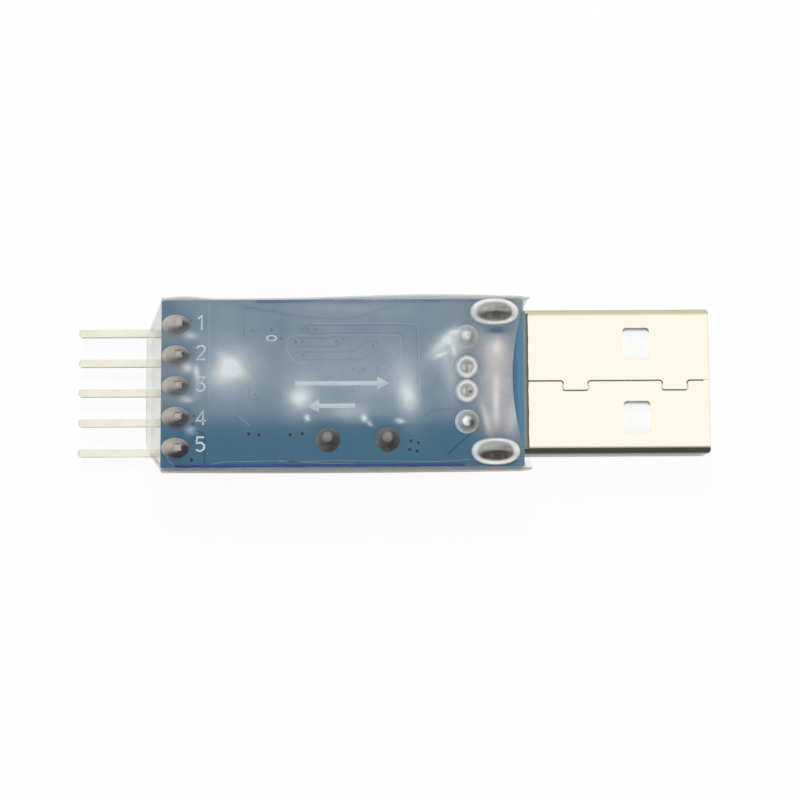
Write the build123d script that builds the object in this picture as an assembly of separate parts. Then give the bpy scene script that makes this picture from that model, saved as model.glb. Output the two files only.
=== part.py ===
from build123d import *
from math import copysign, cos, radians, sin
import os

os.makedirs("parts", exist_ok=True)

# A USB to serial adapter module, lying with its solder side up. Millimetres.
# +X points out of the USB plug, +Y across the board, +Z out of the solder side.
# The origin is under the middle of the module, on the surface that it lies on.

# How far the pins reach past the board's end
pin_reach = 7.6

# Circuit board: its width is what it carries at its widest, and a margin each side
board_length = 29.7
board_side_margin = 0.6
board_thickness = 1.6
board_corner_radius = 0.25

# Clear shrink sleeve: its flats lean so many degrees off level, and off a support it falls by its slope
sleeve_wall = 0.25
sleeve_gap = 0.06
sleeve_left_overhang = 1.65
sleeve_right_overhang = 0.35
sleeve_flat_leans = (0, 6, 14, 30, 60)
sleeve_slope = 0.3
sleeve_mouth_height = 3.1
sleeve_mouth_inset = 0.9
sleeve_scallop_radius = 14.8
sleeve_scallop_depth = 1.1

# USB plug shell, folded from one sheet
shell_length = 19.1
shell_seat = 3.6
shell_width = 12.0
shell_height = 4.5
shell_sheet = 0.3
shell_corner_radius = 0.6
shell_nose_chamfer = 0.1
shell_offset = 0.3
seam_gap = 0.13
seam_tab_depth = 0.8
seam_tab_root = 2.0
seam_tab_tip = 2.2
seam_tab_corner = 0.22
seam_tab_insets = (2.9, 11.1)
window_length = 2.2
window_width = 2.7
window_corner = 0.3
window_inset = 6.05
window_spread = 6.1
leg_width = 2.2
leg_rear_inset = 0.2
leg_relief = 0.25
leg_stub = 0.1

# USB insulator and its contact strips
tongue_thickness = 1.95
tongue_side_gap = 0.2
tongue_nose_inset = 0.45
insulator_block_length = 5.0
insulator_tail_reach = 0.4
contact_pitch_inner = 2.0
contact_pitch_outer = 2.5
contact_width = 1.0
contact_thickness = 0.25
contact_proud = 0.06
power_contact_inset = 1.2
data_contact_inset = 2.2
tail_width = 0.6
tail_bend_radius = 0.45
tail_setback = 1.05
tail_stub = 0.5
tail_hole = 0.95

# Header: a plastic strip flat on the component side, with its pins bent below it
pin_count = 5
pin_pitch = 2.54
pin_width = 0.64
pin_point = 0.16
pin_bend_radius = 0.62
pin_stub = 1.25
pin_hole = 1.0
pin_block_gap = 0.7
header_row_inset = 1.5
header_row_offset = -0.15
header_height = 2.54
header_depth = 2.5
header_notch = 0.42

# Crystal in its metal can
crystal_length = 10.5
crystal_width = 3.8
crystal_height = 3.5
crystal_rim_chamfer = 0.4
crystal_flange = 0.3
crystal_base_thickness = 0.4
crystal_lead_spacing = 4.88
crystal_lead_diameter = 0.43
crystal_hole = 0.7
crystal_lead_stub = 1.0
crystal_end_gap = 0.95
crystal_row = -4.45

# Bridge chip, a 28-lead shrink small-outline package
chip_length = 10.2
chip_width = 5.3
chip_height = 1.75
chip_standoff = 0.1
chip_draft = 7
chip_dot_diameter = 0.8
chip_dot_depth = 0.08
chip_shift = -0.5
chip_row = 2.75
chip_leads_per_side = 14
chip_lead_pitch = 0.65
chip_lead_width = 0.3
chip_lead_thickness = 0.15
chip_lead_span = 7.8
chip_foot_length = 0.75
chip_lead_root = 0.15

# Small parts with a terminal at each end
small_length = 1.6
small_width = 0.8
small_terminal = 0.3
small_terminal_step = 0.03
resistor_height = 0.45
capacitor_height = 0.8
light_base_height = 0.35
light_lens_height = 0.4
light_lens_length = 1.0
small_fillet_reach = 0.3
small_fillet_height = 0.3
light_column_gap = 1.35
data_column_setback = 2.45
load_column_setback = 2.05

# Solder joints
header_joint_length = 2.3
header_joint_width = 1.8
header_joint_shift = -0.22
header_joint_height = 1.0
header_joint_neck = 1.05
cone_joint_diameter = 1.85
cone_joint_height = 0.75
cone_joint_neck = 0.9
ring_joint_diameter = 1.85
ring_joint_height = 0.4
ring_joint_dip_depth = 0.12
crystal_joint_diameter = 2.0
crystal_joint_height = 0.8
crystal_joint_neck = 0.8
leg_joint_length = 4.0
leg_joint_width = 2.35
leg_joint_height = 0.32
leg_joint_edge = 0.15
leg_pocket_length = 2.9
leg_pocket_width = 1.5
leg_pocket_depth = 0.2
leg_joint_margin = 0.05
leg_slot_length = 2.7
leg_slot_width = 0.9
joint_sides = 12

# Levels, from the surface up
shell_bottom = sleeve_wall + sleeve_gap
shell_middle = shell_bottom + shell_height / 2
shell_top = shell_bottom + shell_height
board_bottom = shell_top
board_top = board_bottom + board_thickness
pin_level = board_bottom - header_height - pin_block_gap - pin_width / 2
tongue_bottom = shell_top - shell_sheet - tongue_thickness
contact_level = tongue_bottom + contact_thickness / 2 - contact_proud
chip_bottom = board_bottom - chip_standoff - chip_height

# Places along the module
plug_reach = shell_length - shell_seat
overall_length = pin_reach + board_length + plug_reach
pin_tip_x = -overall_length / 2
board_left = pin_tip_x + pin_reach
board_right = board_left + board_length
nose_x = board_right + plug_reach
header_x = board_left + header_row_inset
shell_rear_x = board_right - shell_seat
leg_x = shell_rear_x + leg_rear_inset + leg_width / 2
insulator_rear_x = shell_rear_x - insulator_tail_reach
insulator_block_front_x = shell_rear_x + insulator_block_length
tail_x = shell_rear_x - tail_setback
load_column_x = tail_x - load_column_setback
crystal_x = load_column_x - small_width / 2 - crystal_end_gap - crystal_flange - crystal_length / 2
chip_x = crystal_x + chip_shift
light_column_x = header_x + header_depth / 2 + light_column_gap
data_column_x = tail_x - data_column_setback
sleeve_left_x = board_left - sleeve_left_overhang
sleeve_right_x = board_right + sleeve_right_overhang

# Places across the module
header_length = pin_count * pin_pitch
board_width = max(header_length, shell_width) + 2 * board_side_margin
header_ys = [header_row_offset + pin_pitch * (i - (pin_count - 1) / 2) for i in range(pin_count)]
contact_ys = [
    shell_offset - contact_pitch_inner / 2 - contact_pitch_outer,
    shell_offset - contact_pitch_inner / 2,
    shell_offset + contact_pitch_inner / 2,
    shell_offset + contact_pitch_inner / 2 + contact_pitch_outer,
]
leg_ys = [shell_offset + side * (shell_width - shell_sheet) / 2 for side in (-1, 1)]
crystal_lead_xs = [crystal_x + side * crystal_lead_spacing / 2 for side in (-1, 1)]

# Small parts on the component side: place along, place across, turned a quarter or not
resistor_places = {
    "power_light_resistor": (light_column_x, 2.2, False),
    "transmit_light_resistor": (light_column_x, 0.2, False),
    "receive_light_resistor": (light_column_x, -1.8, False),
    "series_resistor_plus": (data_column_x, 1.6, False),
    "series_resistor_minus": (data_column_x, 0.0, False),
    "pull_up_resistor": (data_column_x, 3.8, False),
}
capacitor_places = {
    "load_capacitor_1": (load_column_x, -3.3, True),
    "load_capacitor_2": (load_column_x, -5.65, True),
    "supply_capacitor": (data_column_x, 5.8, False),
    "output_capacitor": (data_column_x, -1.7, False),
}
light_places = {
    "power_light": (light_column_x, 4.2, False),
    "transmit_light": (light_column_x, 6.0, False),
    "receive_light": (light_column_x, -3.8, False),
}


def prism(outline, x, y, bottom, top):
    """An upright solid of a flat outline, from one level to another."""
    return extrude(Pos(x, y, bottom) * outline, amount=top - bottom)


def slot(length, width):
    """A flat outline with round ends, long way along X."""
    return RectangleRounded(length, width, width / 2 * 0.999)


def board_blank(bottom, top, margin=0):
    """The board's outline as an upright solid, from one level to another, drawn in by a margin."""
    outline = RectangleRounded(
        board_length - 2 * margin, board_width - 2 * margin, board_corner_radius - margin
    )
    return prism(outline, (board_left + board_right) / 2, 0, bottom, top)


def make_circuit_board():
    """The board, drilled for the header, the plug and the crystal."""
    board = board_blank(board_bottom, board_top)
    for y in header_ys:
        board -= prism(Circle(pin_hole / 2), header_x, y, board_bottom, board_top)
    for y in contact_ys:
        board -= prism(Circle(tail_hole / 2), tail_x, y, board_bottom, board_top)
    for y in leg_ys:
        board -= prism(slot(leg_slot_length, leg_slot_width), leg_x, y, board_bottom, board_top)
    for x in crystal_lead_xs:
        board -= prism(Circle(crystal_hole / 2), x, crystal_row, board_bottom, board_top)
    return board


def make_seam():
    """The line where the folded sheet meets itself, with two dovetail tabs, as a cutter."""
    points = [(shell_rear_x - shell_sheet, shell_offset)]
    radii = []
    for inset in sorted(seam_tab_insets, reverse=True):
        tab_x = nose_x - inset
        points += [
            (tab_x - seam_tab_root / 2, shell_offset),
            (tab_x - seam_tab_tip / 2, shell_offset - seam_tab_depth),
            (tab_x + seam_tab_tip / 2, shell_offset - seam_tab_depth),
            (tab_x + seam_tab_root / 2, shell_offset),
        ]
        radii += [seam_tab_corner] * 4
    points.append((nose_x + shell_sheet, shell_offset))
    line = FilletPolyline(*points, radius=radii)
    return extrude(Pos(0, 0, shell_top - 1.5 * shell_sheet) * trace(line, seam_gap), amount=2 * shell_sheet)


def make_leg(side):
    """One board leg, straight up out of the shell's side wall, with the cutter that frees its corner."""
    y = shell_offset + side * (shell_width - shell_sheet) / 2
    leg_foot = shell_top - 2 * shell_corner_radius
    leg = prism(Rectangle(leg_width, shell_sheet), leg_x, y, leg_foot, board_top + leg_stub)
    relief = prism(
        Rectangle(leg_width + 2 * leg_relief, 2 * shell_corner_radius),
        leg_x,
        shell_offset + side * shell_width / 2,
        shell_top - shell_corner_radius,
        shell_top + shell_sheet,
    )
    return leg, relief


def make_usb_shell():
    """The plug's shell: a flat tube closed by the seam, with windows in both broad faces."""
    outside = RectangleRounded(shell_width, shell_height, shell_corner_radius)
    inside = RectangleRounded(
        shell_width - 2 * shell_sheet,
        shell_height - 2 * shell_sheet,
        shell_corner_radius - shell_sheet,
    )
    section = Plane.YZ.offset(shell_rear_x) * Pos(shell_offset, shell_middle) * (outside - inside)
    shell = extrude(section, amount=shell_length)
    nose_edges = shell.faces().sort_by(Axis.X)[-1].outer_wire().edges()
    shell = chamfer(nose_edges, shell_nose_chamfer)
    window = RectangleRounded(window_length, window_width, window_corner)
    for side in (-1, 1):
        window_y = shell_offset + side * window_spread / 2
        shell -= prism(window, nose_x - window_inset, window_y, 0, board_bottom + shell_sheet)
    for side in (-1, 1):
        leg, relief = make_leg(side)
        shell = shell - relief + leg
    return shell - make_seam()


def make_contact(y, inset):
    """One contact: a strip along the tongue, and a tail bent up through the board."""
    strip_length = nose_x - inset - insulator_rear_x
    strip = Pos(insulator_rear_x + strip_length / 2, y, contact_level) * Box(
        strip_length, contact_width, contact_thickness
    )
    path = FilletPolyline(
        (insulator_rear_x, y, contact_level),
        (tail_x, y, contact_level),
        (tail_x, y, board_top + tail_stub),
        radius=tail_bend_radius,
    )
    start = Plane(origin=path @ 0, x_dir=(0, 1, 0), z_dir=path % 0)
    tail = sweep(start * Rectangle(tail_width, contact_thickness), path=path)
    return strip + tail


def make_contacts():
    """The four contacts: the outer two carry power and reach further towards the nose."""
    insets = (power_contact_inset, data_contact_inset, data_contact_inset, power_contact_inset)
    return [make_contact(y, inset) for y, inset in zip(contact_ys, insets)]


def make_usb_insulator(contacts):
    """The white moulding: a block that fills the shell's rear, and the tongue under the seam."""
    inner_height = shell_height - 2 * shell_sheet
    inner_width = shell_width - 2 * shell_sheet
    block_outline = RectangleRounded(inner_width, inner_height, shell_corner_radius - shell_sheet)
    block_plane = Plane.YZ.offset(insulator_rear_x) * Pos(shell_offset, shell_middle)
    block = extrude(block_plane * block_outline, amount=insulator_block_front_x - insulator_rear_x)
    tongue_length = nose_x - tongue_nose_inset - insulator_block_front_x
    tongue_outline = RectangleRounded(
        inner_width - 2 * tongue_side_gap, tongue_thickness, shell_corner_radius - shell_sheet
    )
    tongue_middle = tongue_bottom + tongue_thickness / 2
    tongue_plane = Plane.YZ.offset(insulator_block_front_x) * Pos(shell_offset, tongue_middle)
    tongue = extrude(tongue_plane * tongue_outline, amount=tongue_length)
    insulator = block + tongue
    for contact in contacts:
        insulator -= contact
    return insulator


def make_header_block():
    """The plastic strip: one notched cell for each pin."""
    half_depth = header_depth / 2
    half_pitch = pin_pitch / 2
    cell = Polygon(
        (-half_depth, -half_pitch + header_notch),
        (-half_depth + header_notch, -half_pitch),
        (half_depth - header_notch, -half_pitch),
        (half_depth, -half_pitch + header_notch),
        (half_depth, half_pitch - header_notch),
        (half_depth - header_notch, half_pitch),
        (-half_depth + header_notch, half_pitch),
        (-half_depth, half_pitch - header_notch),
        align=None,
    )
    block = Part() + [
        prism(cell, header_x, y, board_bottom - header_height, board_bottom) for y in header_ys
    ]
    for y in header_ys:
        block -= prism(
            Rectangle(pin_width, pin_width), header_x, y, board_bottom - header_height, board_bottom
        )
    return block


def make_header_pin(y):
    """One square pin, bent below the strip and pointed at both ends."""
    path = FilletPolyline(
        (header_x, y, board_top + pin_stub),
        (header_x, y, pin_level),
        (pin_tip_x, y, pin_level),
        radius=pin_bend_radius,
    )
    start = Plane(origin=path @ 0, x_dir=(0, 1, 0), z_dir=path % 0)
    pin = sweep(start * Rectangle(pin_width, pin_width), path=path)
    pin = chamfer(pin.edges().group_by(Axis.X)[0], pin_point)
    return chamfer(pin.edges().group_by(Axis.Z)[-1], pin_point)


def make_crystal():
    """The crystal: a drawn can on a flanged base, with two leads through the base."""
    can_outline = slot(crystal_length, crystal_width)
    flange_outline = slot(crystal_length + 2 * crystal_flange, crystal_width + 2 * crystal_flange)
    base_bottom = board_bottom - crystal_base_thickness
    can = prism(can_outline, crystal_x, crystal_row, board_bottom - crystal_height, base_bottom)
    can = chamfer(can.edges().group_by(Axis.Z)[0], crystal_rim_chamfer)
    base = prism(flange_outline, crystal_x, crystal_row, base_bottom, board_bottom)
    leads = Part() + [
        prism(
            Circle(crystal_lead_diameter / 2), x, crystal_row, base_bottom, board_top + crystal_lead_stub
        )
        for x in crystal_lead_xs
    ]
    return can, base - leads, leads


def make_chip_leads():
    """The chip's gull-wing leads, patterned along both sides."""
    parting_level = board_bottom - chip_standoff - chip_height / 2
    foot_level = board_bottom - chip_lead_thickness / 2
    root = chip_width / 2 - chip_lead_root
    tip = chip_lead_span / 2
    knee = (chip_width / 2 + tip - chip_foot_length) / 2
    profile = trace(
        Polyline(
            (root, parting_level),
            (knee, parting_level),
            (tip - chip_foot_length, foot_level),
            (tip, foot_level),
        ),
        chip_lead_thickness,
    )
    lead = extrude(Plane.YZ * profile, amount=chip_lead_width / 2, both=True)
    first = -(chip_leads_per_side - 1) / 2
    leads = []
    for side in (0, 180):
        for i in range(chip_leads_per_side):
            place = Pos(chip_x, chip_row, 0) * Rot(0, 0, side) * Pos((first + i) * chip_lead_pitch, 0, 0)
            leads.append(place * lead)
    return Compound(children=leads)


def make_chip_body(leads):
    """The chip's moulded body: two drafted halves, with a dimple beside its first lead."""
    outline = Rectangle(chip_length, chip_width)
    parting_level = board_bottom - chip_standoff - chip_height / 2
    middle = Pos(chip_x, chip_row, parting_level) * outline
    body = extrude(middle, amount=chip_height / 2, taper=chip_draft)
    body += extrude(middle, amount=chip_height / 2, dir=(0, 0, -1), taper=chip_draft)
    dot_x = chip_x - chip_length / 2 + 2 * chip_dot_diameter
    dot_y = chip_row - chip_width / 2 + 2 * chip_dot_diameter
    body -= prism(Circle(chip_dot_diameter / 2), dot_x, dot_y, chip_bottom, chip_bottom + chip_dot_depth)
    for lead in leads.solids():
        body -= lead
    return body


def small_place(x, y, turned):
    """The place of a small part, hung under the board and turned a quarter or not."""
    return Pos(x, y, board_bottom) * Rot(0, 0, 90 if turned else 0)


def hang(length, width, height, x=0):
    """A box that hangs from the level of the board's underside."""
    return Pos(x, 0, -height / 2) * Box(length, width, height)


def make_small_part(height, place):
    """A resistor or a capacitor: a body with a slightly thicker terminal at each end."""
    step = small_terminal_step
    part = hang(small_length - 2 * small_terminal, small_width - 2 * step, height - step)
    for side in (-1, 1):
        part += hang(small_terminal, small_width, height, side * (small_length - small_terminal) / 2)
    return small_place(*place) * part


def make_light(place):
    """A light: a flat base with a clear lens between its terminals."""
    light = hang(small_length, small_width, light_base_height)
    lens = Box(light_lens_length, small_width, light_lens_height)
    lens = chamfer(lens.edges().group_by(Axis.Z)[0], light_lens_height / 4)
    light += Pos(0, 0, -light_base_height - light_lens_height / 2) * lens
    return small_place(*place) * light


def make_small_part_joints():
    """A wedge of solder against each end of each small part."""
    reach = small_length / 2 + small_fillet_reach
    wedge = extrude(
        Plane.XZ * Polygon(
            (small_length / 2, 0),
            (reach, 0),
            (small_length / 2, -small_fillet_height),
            align=None,
        ),
        amount=small_width / 2,
        both=True,
    )
    places = [*resistor_places.values(), *capacitor_places.values(), *light_places.values()]
    wedges = []
    for place in places:
        for turn in (0, 180):
            wedges.append(small_place(*place) * Rot(0, 0, turn) * wedge)
    return Compound(children=wedges)


def joint_outline(length, width):
    """The outline of a round or oval joint, with few sides because there are many joints."""
    return scale(RegularPolygon(0.5, joint_sides), (length, width, 1))


def solder_cone(length, width, height, neck, shift=0):
    """A joint whose flank climbs from its pad, shallow and then steep, to a narrow neck."""
    waist = joint_outline((length + 2 * neck) / 3, (width + 2 * neck) / 3)
    return loft(
        [
            Pos(shift, 0, 0) * joint_outline(length, width),
            Pos(shift / 3, 0, height / 3) * waist,
            Pos(0, 0, height) * joint_outline(neck, neck),
        ],
        ruled=True,
    )


def solder_ring(diameter, height, dip_depth):
    """A low round joint with a dip in the middle, where the solder has drawn back."""
    crest = diameter / 2
    shoulder = crest + diameter / 3
    ring = loft(
        [
            joint_outline(diameter, diameter),
            Pos(0, 0, height * 2 / 3) * joint_outline(shoulder, shoulder),
            Pos(0, 0, height) * joint_outline(crest, crest),
        ],
        ruled=True,
    )
    dip = loft(
        [
            Pos(0, 0, height - dip_depth) * joint_outline(crest / 3, crest / 3),
            Pos(0, 0, height + dip_depth / 2) * joint_outline(crest, crest),
        ],
        ruled=True,
    )
    return ring - dip


def make_header_joints(pins):
    """The header's joints: an oval foot drawn up to each pin."""
    cone = solder_cone(
        header_joint_length, header_joint_width, header_joint_height, header_joint_neck, header_joint_shift
    )
    return Compound(
        children=[Pos(header_x, y, board_top) * cone - pin for y, pin in zip(header_ys, pins)]
    )


def make_usb_joints(contacts):
    """The plug's signal joints: cones on the outer two, dipped rings on the inner two."""
    cone = solder_cone(cone_joint_diameter, cone_joint_diameter, cone_joint_height, cone_joint_neck)
    ring = solder_ring(ring_joint_diameter, ring_joint_height, ring_joint_dip_depth)
    forms = (cone, ring, ring, cone)
    return Compound(
        children=[
            Pos(tail_x, y, board_top) * form - contact
            for y, contact, form in zip(contact_ys, contacts, forms)
        ]
    )


def make_shell_joints(shell):
    """The joints of the shell's legs: an oval bead with a sunken middle, cut at the board's edge."""
    bead_top = board_top + leg_joint_height
    foot = joint_outline(leg_joint_length, leg_joint_width)
    crown = joint_outline(leg_joint_length - 2 * leg_joint_edge, leg_joint_width - 2 * leg_joint_edge)
    bead = loft([foot, Pos(0, 0, leg_joint_height) * crown], ruled=True)
    pocket = joint_outline(leg_pocket_length, leg_pocket_width)
    joints = []
    for y in leg_ys:
        joint = Pos(leg_x, y, board_top) * bead & board_blank(board_top, bead_top, leg_joint_margin)
        joint -= prism(pocket, leg_x, y, bead_top - leg_pocket_depth, bead_top)
        joints.append(joint - shell)
    return Compound(children=joints)


def make_crystal_joints(leads):
    """The crystal's two joints, drawn up their leads."""
    cone = solder_cone(
        crystal_joint_diameter, crystal_joint_diameter, crystal_joint_height, crystal_joint_neck
    )
    return Compound(children=[Pos(x, crystal_row, board_top) * cone - leads for x in crystal_lead_xs])


def sleeve_supports():
    """What holds the film out: each edge's start, end, place across and level."""
    header = (header_x - header_depth / 2, header_x + header_depth / 2)
    chip_and_crystal = (
        min(chip_x - chip_length / 2, crystal_x - crystal_length / 2),
        max(chip_x + chip_length / 2, crystal_x + crystal_length / 2),
    )
    leads = (crystal_lead_xs[0] - crystal_joint_neck / 2, crystal_lead_xs[1] + crystal_joint_neck / 2)
    tails = (tail_x - cone_joint_neck / 2, tail_x + cone_joint_neck / 2)
    legs = (leg_x - leg_joint_length / 2, leg_x + leg_joint_length / 2)
    pins_half = (pin_count - 1) * pin_pitch / 2 + pin_width / 2
    supports = []
    for side in (-1, 1):
        board_y = side * board_width / 2
        pin_y = header_row_offset + side * pins_half
        tail_y = contact_ys[0 if side < 0 else -1] + side * cone_joint_neck / 2
        supports += [
            (board_left, board_right, board_y, board_bottom),
            (board_left, board_right, board_y, board_top),
            (*header, header_row_offset + side * header_length / 2, board_bottom - header_height),
            (*header, pin_y, board_top + pin_stub),
            (pin_tip_x, header_x, pin_y, pin_level - pin_width / 2),
            (*chip_and_crystal, chip_row + side * chip_width / 2, chip_bottom),
            (*chip_and_crystal, crystal_row + side * crystal_width / 2, board_bottom - crystal_height),
            (*leads, crystal_row + side * crystal_joint_neck / 2, board_top + crystal_lead_stub),
            (*tails, tail_y, board_top + cone_joint_height),
            (*legs, side * (board_width / 2 - leg_joint_margin), board_top + leg_joint_height),
            (shell_rear_x, nose_x, shell_offset + side * shell_width / 2, shell_bottom),
        ]
    return supports


def mouth_supports():
    """The corners of the sleeve's mouth, drawn in round the pins."""
    pins_half = (pin_count - 1) * pin_pitch / 2 + pin_width / 2
    mouth_bottom = pin_level - pin_width / 2
    mouth_top = mouth_bottom + sleeve_mouth_height
    return [
        (sleeve_left_x, sleeve_left_x, header_row_offset + side * half, level)
        for side in (-1, 1)
        for half, level in ((pins_half, mouth_bottom), (pins_half - sleeve_mouth_inset, mouth_top))
    ]


def sleeve_flats():
    """The directions that the film's flats face, in degrees from +Y towards +Z."""
    upper = sorted({90 + side * lean for lean in sleeve_flat_leans for side in (-1, 1)})
    return [0, *upper, 180, *(180 + angle for angle in upper)]


def film_reach(angle, x, supports):
    """How far the furthest support holds the film out in one direction; off its ends it falls inwards."""
    board_middle = (board_bottom + board_top) / 2
    reaches = []
    for start, end, y, z in supports:
        fall = sleeve_slope * max(0, start - x, x - end)
        rise = z - board_middle
        held_y = copysign(max(0, abs(y) - fall), y)
        held_z = board_middle + copysign(max(0, abs(rise) - fall), rise)
        reaches.append(held_y * cos(angle) + held_z * sin(angle))
    return max(reaches)


def film_ring(x, supports, grow):
    """Corners of the film's outline at one place: each flat lies on the support that reaches furthest."""
    flats = [radians(angle) for angle in sleeve_flats()]
    reaches = [film_reach(angle, x, supports) + grow for angle in flats]
    corners = []
    for i, angle in enumerate(flats):
        before = flats[i - 1]
        turn = sin(angle - before)
        corner_y = (reaches[i - 1] * sin(angle) - reaches[i] * sin(before)) / turn
        corner_z = (reaches[i] * cos(before) - reaches[i - 1] * cos(angle)) / turn
        corners.append((x, corner_y, corner_z))
    return corners


def film_skin(grow):
    """A closed solid round the supports: the same flats run from ring to ring, so each face is flat."""
    supports = sleeve_supports()
    ends = {x for start, end, _, _ in supports for x in (start, end)}
    valley = (header_x + header_depth / 2 + chip_x - chip_length / 2) / 2
    stations = sorted(x for x in (*ends, valley) if board_left <= x < board_right)
    rings = [film_ring(sleeve_left_x, mouth_supports(), grow)]
    rings += [film_ring(x, supports, grow) for x in (*stations, sleeve_right_x)]
    outlines = [rings[0], rings[-1]]
    for ring, following in zip(rings, rings[1:]):
        for i in range(len(ring)):
            outlines.append([ring[i - 1], ring[i], following[i], following[i - 1]])
    faces = [Face(Wire.make_polygon(outline)) for outline in outlines]
    return Solid(Shell(faces))


def make_sleeve():
    """The shrink sleeve: a taut film over its supports, cut back in an arc over the plug end."""
    scallop_x = sleeve_right_x - sleeve_scallop_depth + sleeve_scallop_radius
    scallop = prism(
        Circle(sleeve_scallop_radius), scallop_x, shell_offset, board_top, board_top + shell_height
    )
    return film_skin(sleeve_gap + sleeve_wall) - film_skin(sleeve_gap) - scallop


def save(name, solid):
    """Writes one sub-part."""
    export_step(solid, f"parts/{name}.step")


def main():
    save("circuit_board", make_circuit_board())
    shell = make_usb_shell()
    save("usb_shell", shell)
    contacts = make_contacts()
    for i, contact in enumerate(contacts, start=1):
        save(f"usb_contact_{i}", contact)
    save("usb_insulator", make_usb_insulator(contacts))
    save("header_block", make_header_block())
    pins = [make_header_pin(y) for y in header_ys]
    for i, pin in enumerate(pins, start=1):
        save(f"header_pin_{i}", pin)
    can, base, leads = make_crystal()
    save("crystal_can", can)
    save("crystal_base", base)
    save("crystal_leads", leads)
    chip_leads = make_chip_leads()
    save("bridge_chip_leads", chip_leads)
    save("bridge_chip_body", make_chip_body(chip_leads))
    for name, place in resistor_places.items():
        save(name, make_small_part(resistor_height, place))
    for name, place in capacitor_places.items():
        save(name, make_small_part(capacitor_height, place))
    for name, place in light_places.items():
        save(name, make_light(place))
    save("small_part_joints", make_small_part_joints())
    save("header_joints", make_header_joints(pins))
    save("usb_joints", make_usb_joints(contacts))
    save("shell_joints", make_shell_joints(shell))
    save("crystal_joints", make_crystal_joints(leads))
    save("shrink_sleeve", make_sleeve())


if __name__ == "__main__":
    main()
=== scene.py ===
"""Looks of a USB to serial adapter module in a clear shrink sleeve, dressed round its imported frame.

Lengths are millimetres in the frame's axes until a mesh is made: +X points out of the USB plug,
+Y across the board and +Z out of the solder side.
"""

import logging
import math
from dataclasses import dataclass, replace
from enum import Enum
from typing import Any, Sequence

import bmesh
import bpy
import numpy as np
from mathutils import Matrix, Vector


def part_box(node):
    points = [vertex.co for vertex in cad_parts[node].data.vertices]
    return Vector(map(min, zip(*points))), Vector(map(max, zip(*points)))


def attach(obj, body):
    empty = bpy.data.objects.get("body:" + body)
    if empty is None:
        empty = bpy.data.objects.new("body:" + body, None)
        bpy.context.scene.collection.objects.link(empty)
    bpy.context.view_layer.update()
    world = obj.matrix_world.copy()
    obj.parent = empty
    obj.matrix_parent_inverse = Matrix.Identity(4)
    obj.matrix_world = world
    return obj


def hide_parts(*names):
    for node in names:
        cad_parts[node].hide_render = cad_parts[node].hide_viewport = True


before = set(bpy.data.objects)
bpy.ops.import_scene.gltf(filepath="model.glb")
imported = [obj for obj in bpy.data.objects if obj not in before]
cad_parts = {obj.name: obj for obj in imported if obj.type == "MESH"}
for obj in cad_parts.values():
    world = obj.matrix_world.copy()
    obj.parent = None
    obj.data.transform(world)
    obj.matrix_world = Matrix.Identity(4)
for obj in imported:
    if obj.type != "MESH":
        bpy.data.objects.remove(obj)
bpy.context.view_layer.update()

log = logging.getLogger("adapter")

MM = 0.001
BODY = "root"
WHITE = (1.0, 1.0, 1.0, 1.0)

Array = np.ndarray
Pair = tuple[float, float]
Triple = tuple[float, float, float]
Quad = tuple[float, float, float, float]
Line = Sequence[Pair]
Tree = bpy.types.NodeTree
Socket = bpy.types.NodeSocket
Material = bpy.types.Material


class Slot(Enum):
    """Names of three material slots; no piece here takes its finish from them."""

    MASK = "solder_mask"
    SOLDER = "solder"
    FILM = "clear_film"


# Frame places


@dataclass(frozen=True)
class Extent:
    """The lowest and highest corner of a frame node, in millimetres."""

    low: Array
    high: Array

    @classmethod
    def of(cls, node: str) -> "Extent":
        """Measures a node of the frame."""
        low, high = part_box(node)
        return cls(np.array(low) / MM, np.array(high) / MM)

    @property
    def middle(self) -> Array:
        """The point halfway between both corners."""
        return (self.low + self.high) / 2

    @property
    def size(self) -> Array:
        """The edge lengths."""
        return self.high - self.low


BOARD = Extent.of("circuit_board")
SHELL = Extent.of("usb_shell")
LEG_JOINTS = Extent.of("shell_joints")
CRYSTAL_LEADS = Extent.of("crystal_leads")
HEADER_PINS = [Extent.of(f"header_pin_{i}") for i in range(1, 6)]
BOARD_START, BOARD_END = BOARD.low[0], BOARD.high[0]
BOARD_UNDER, BOARD_TOP = BOARD.low[2], BOARD.high[2]
PIN_WIDTH = HEADER_PINS[0].size[1]
HEADER_X = HEADER_PINS[0].high[0] - PIN_WIDTH / 2
HEADER_YS = [pin.middle[1] for pin in HEADER_PINS]
TAIL_YS = [Extent.of(f"usb_contact_{i}").middle[1] for i in range(1, 5)]
TAIL_X = Extent.of("usb_joints").middle[0]
LEAD_RADIUS = CRYSTAL_LEADS.size[1] / 2
CRYSTAL_XS = (CRYSTAL_LEADS.low[0] + LEAD_RADIUS, CRYSTAL_LEADS.high[0] - LEAD_RADIUS)
CRYSTAL_Y = CRYSTAL_LEADS.middle[1]


# Meshes


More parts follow.
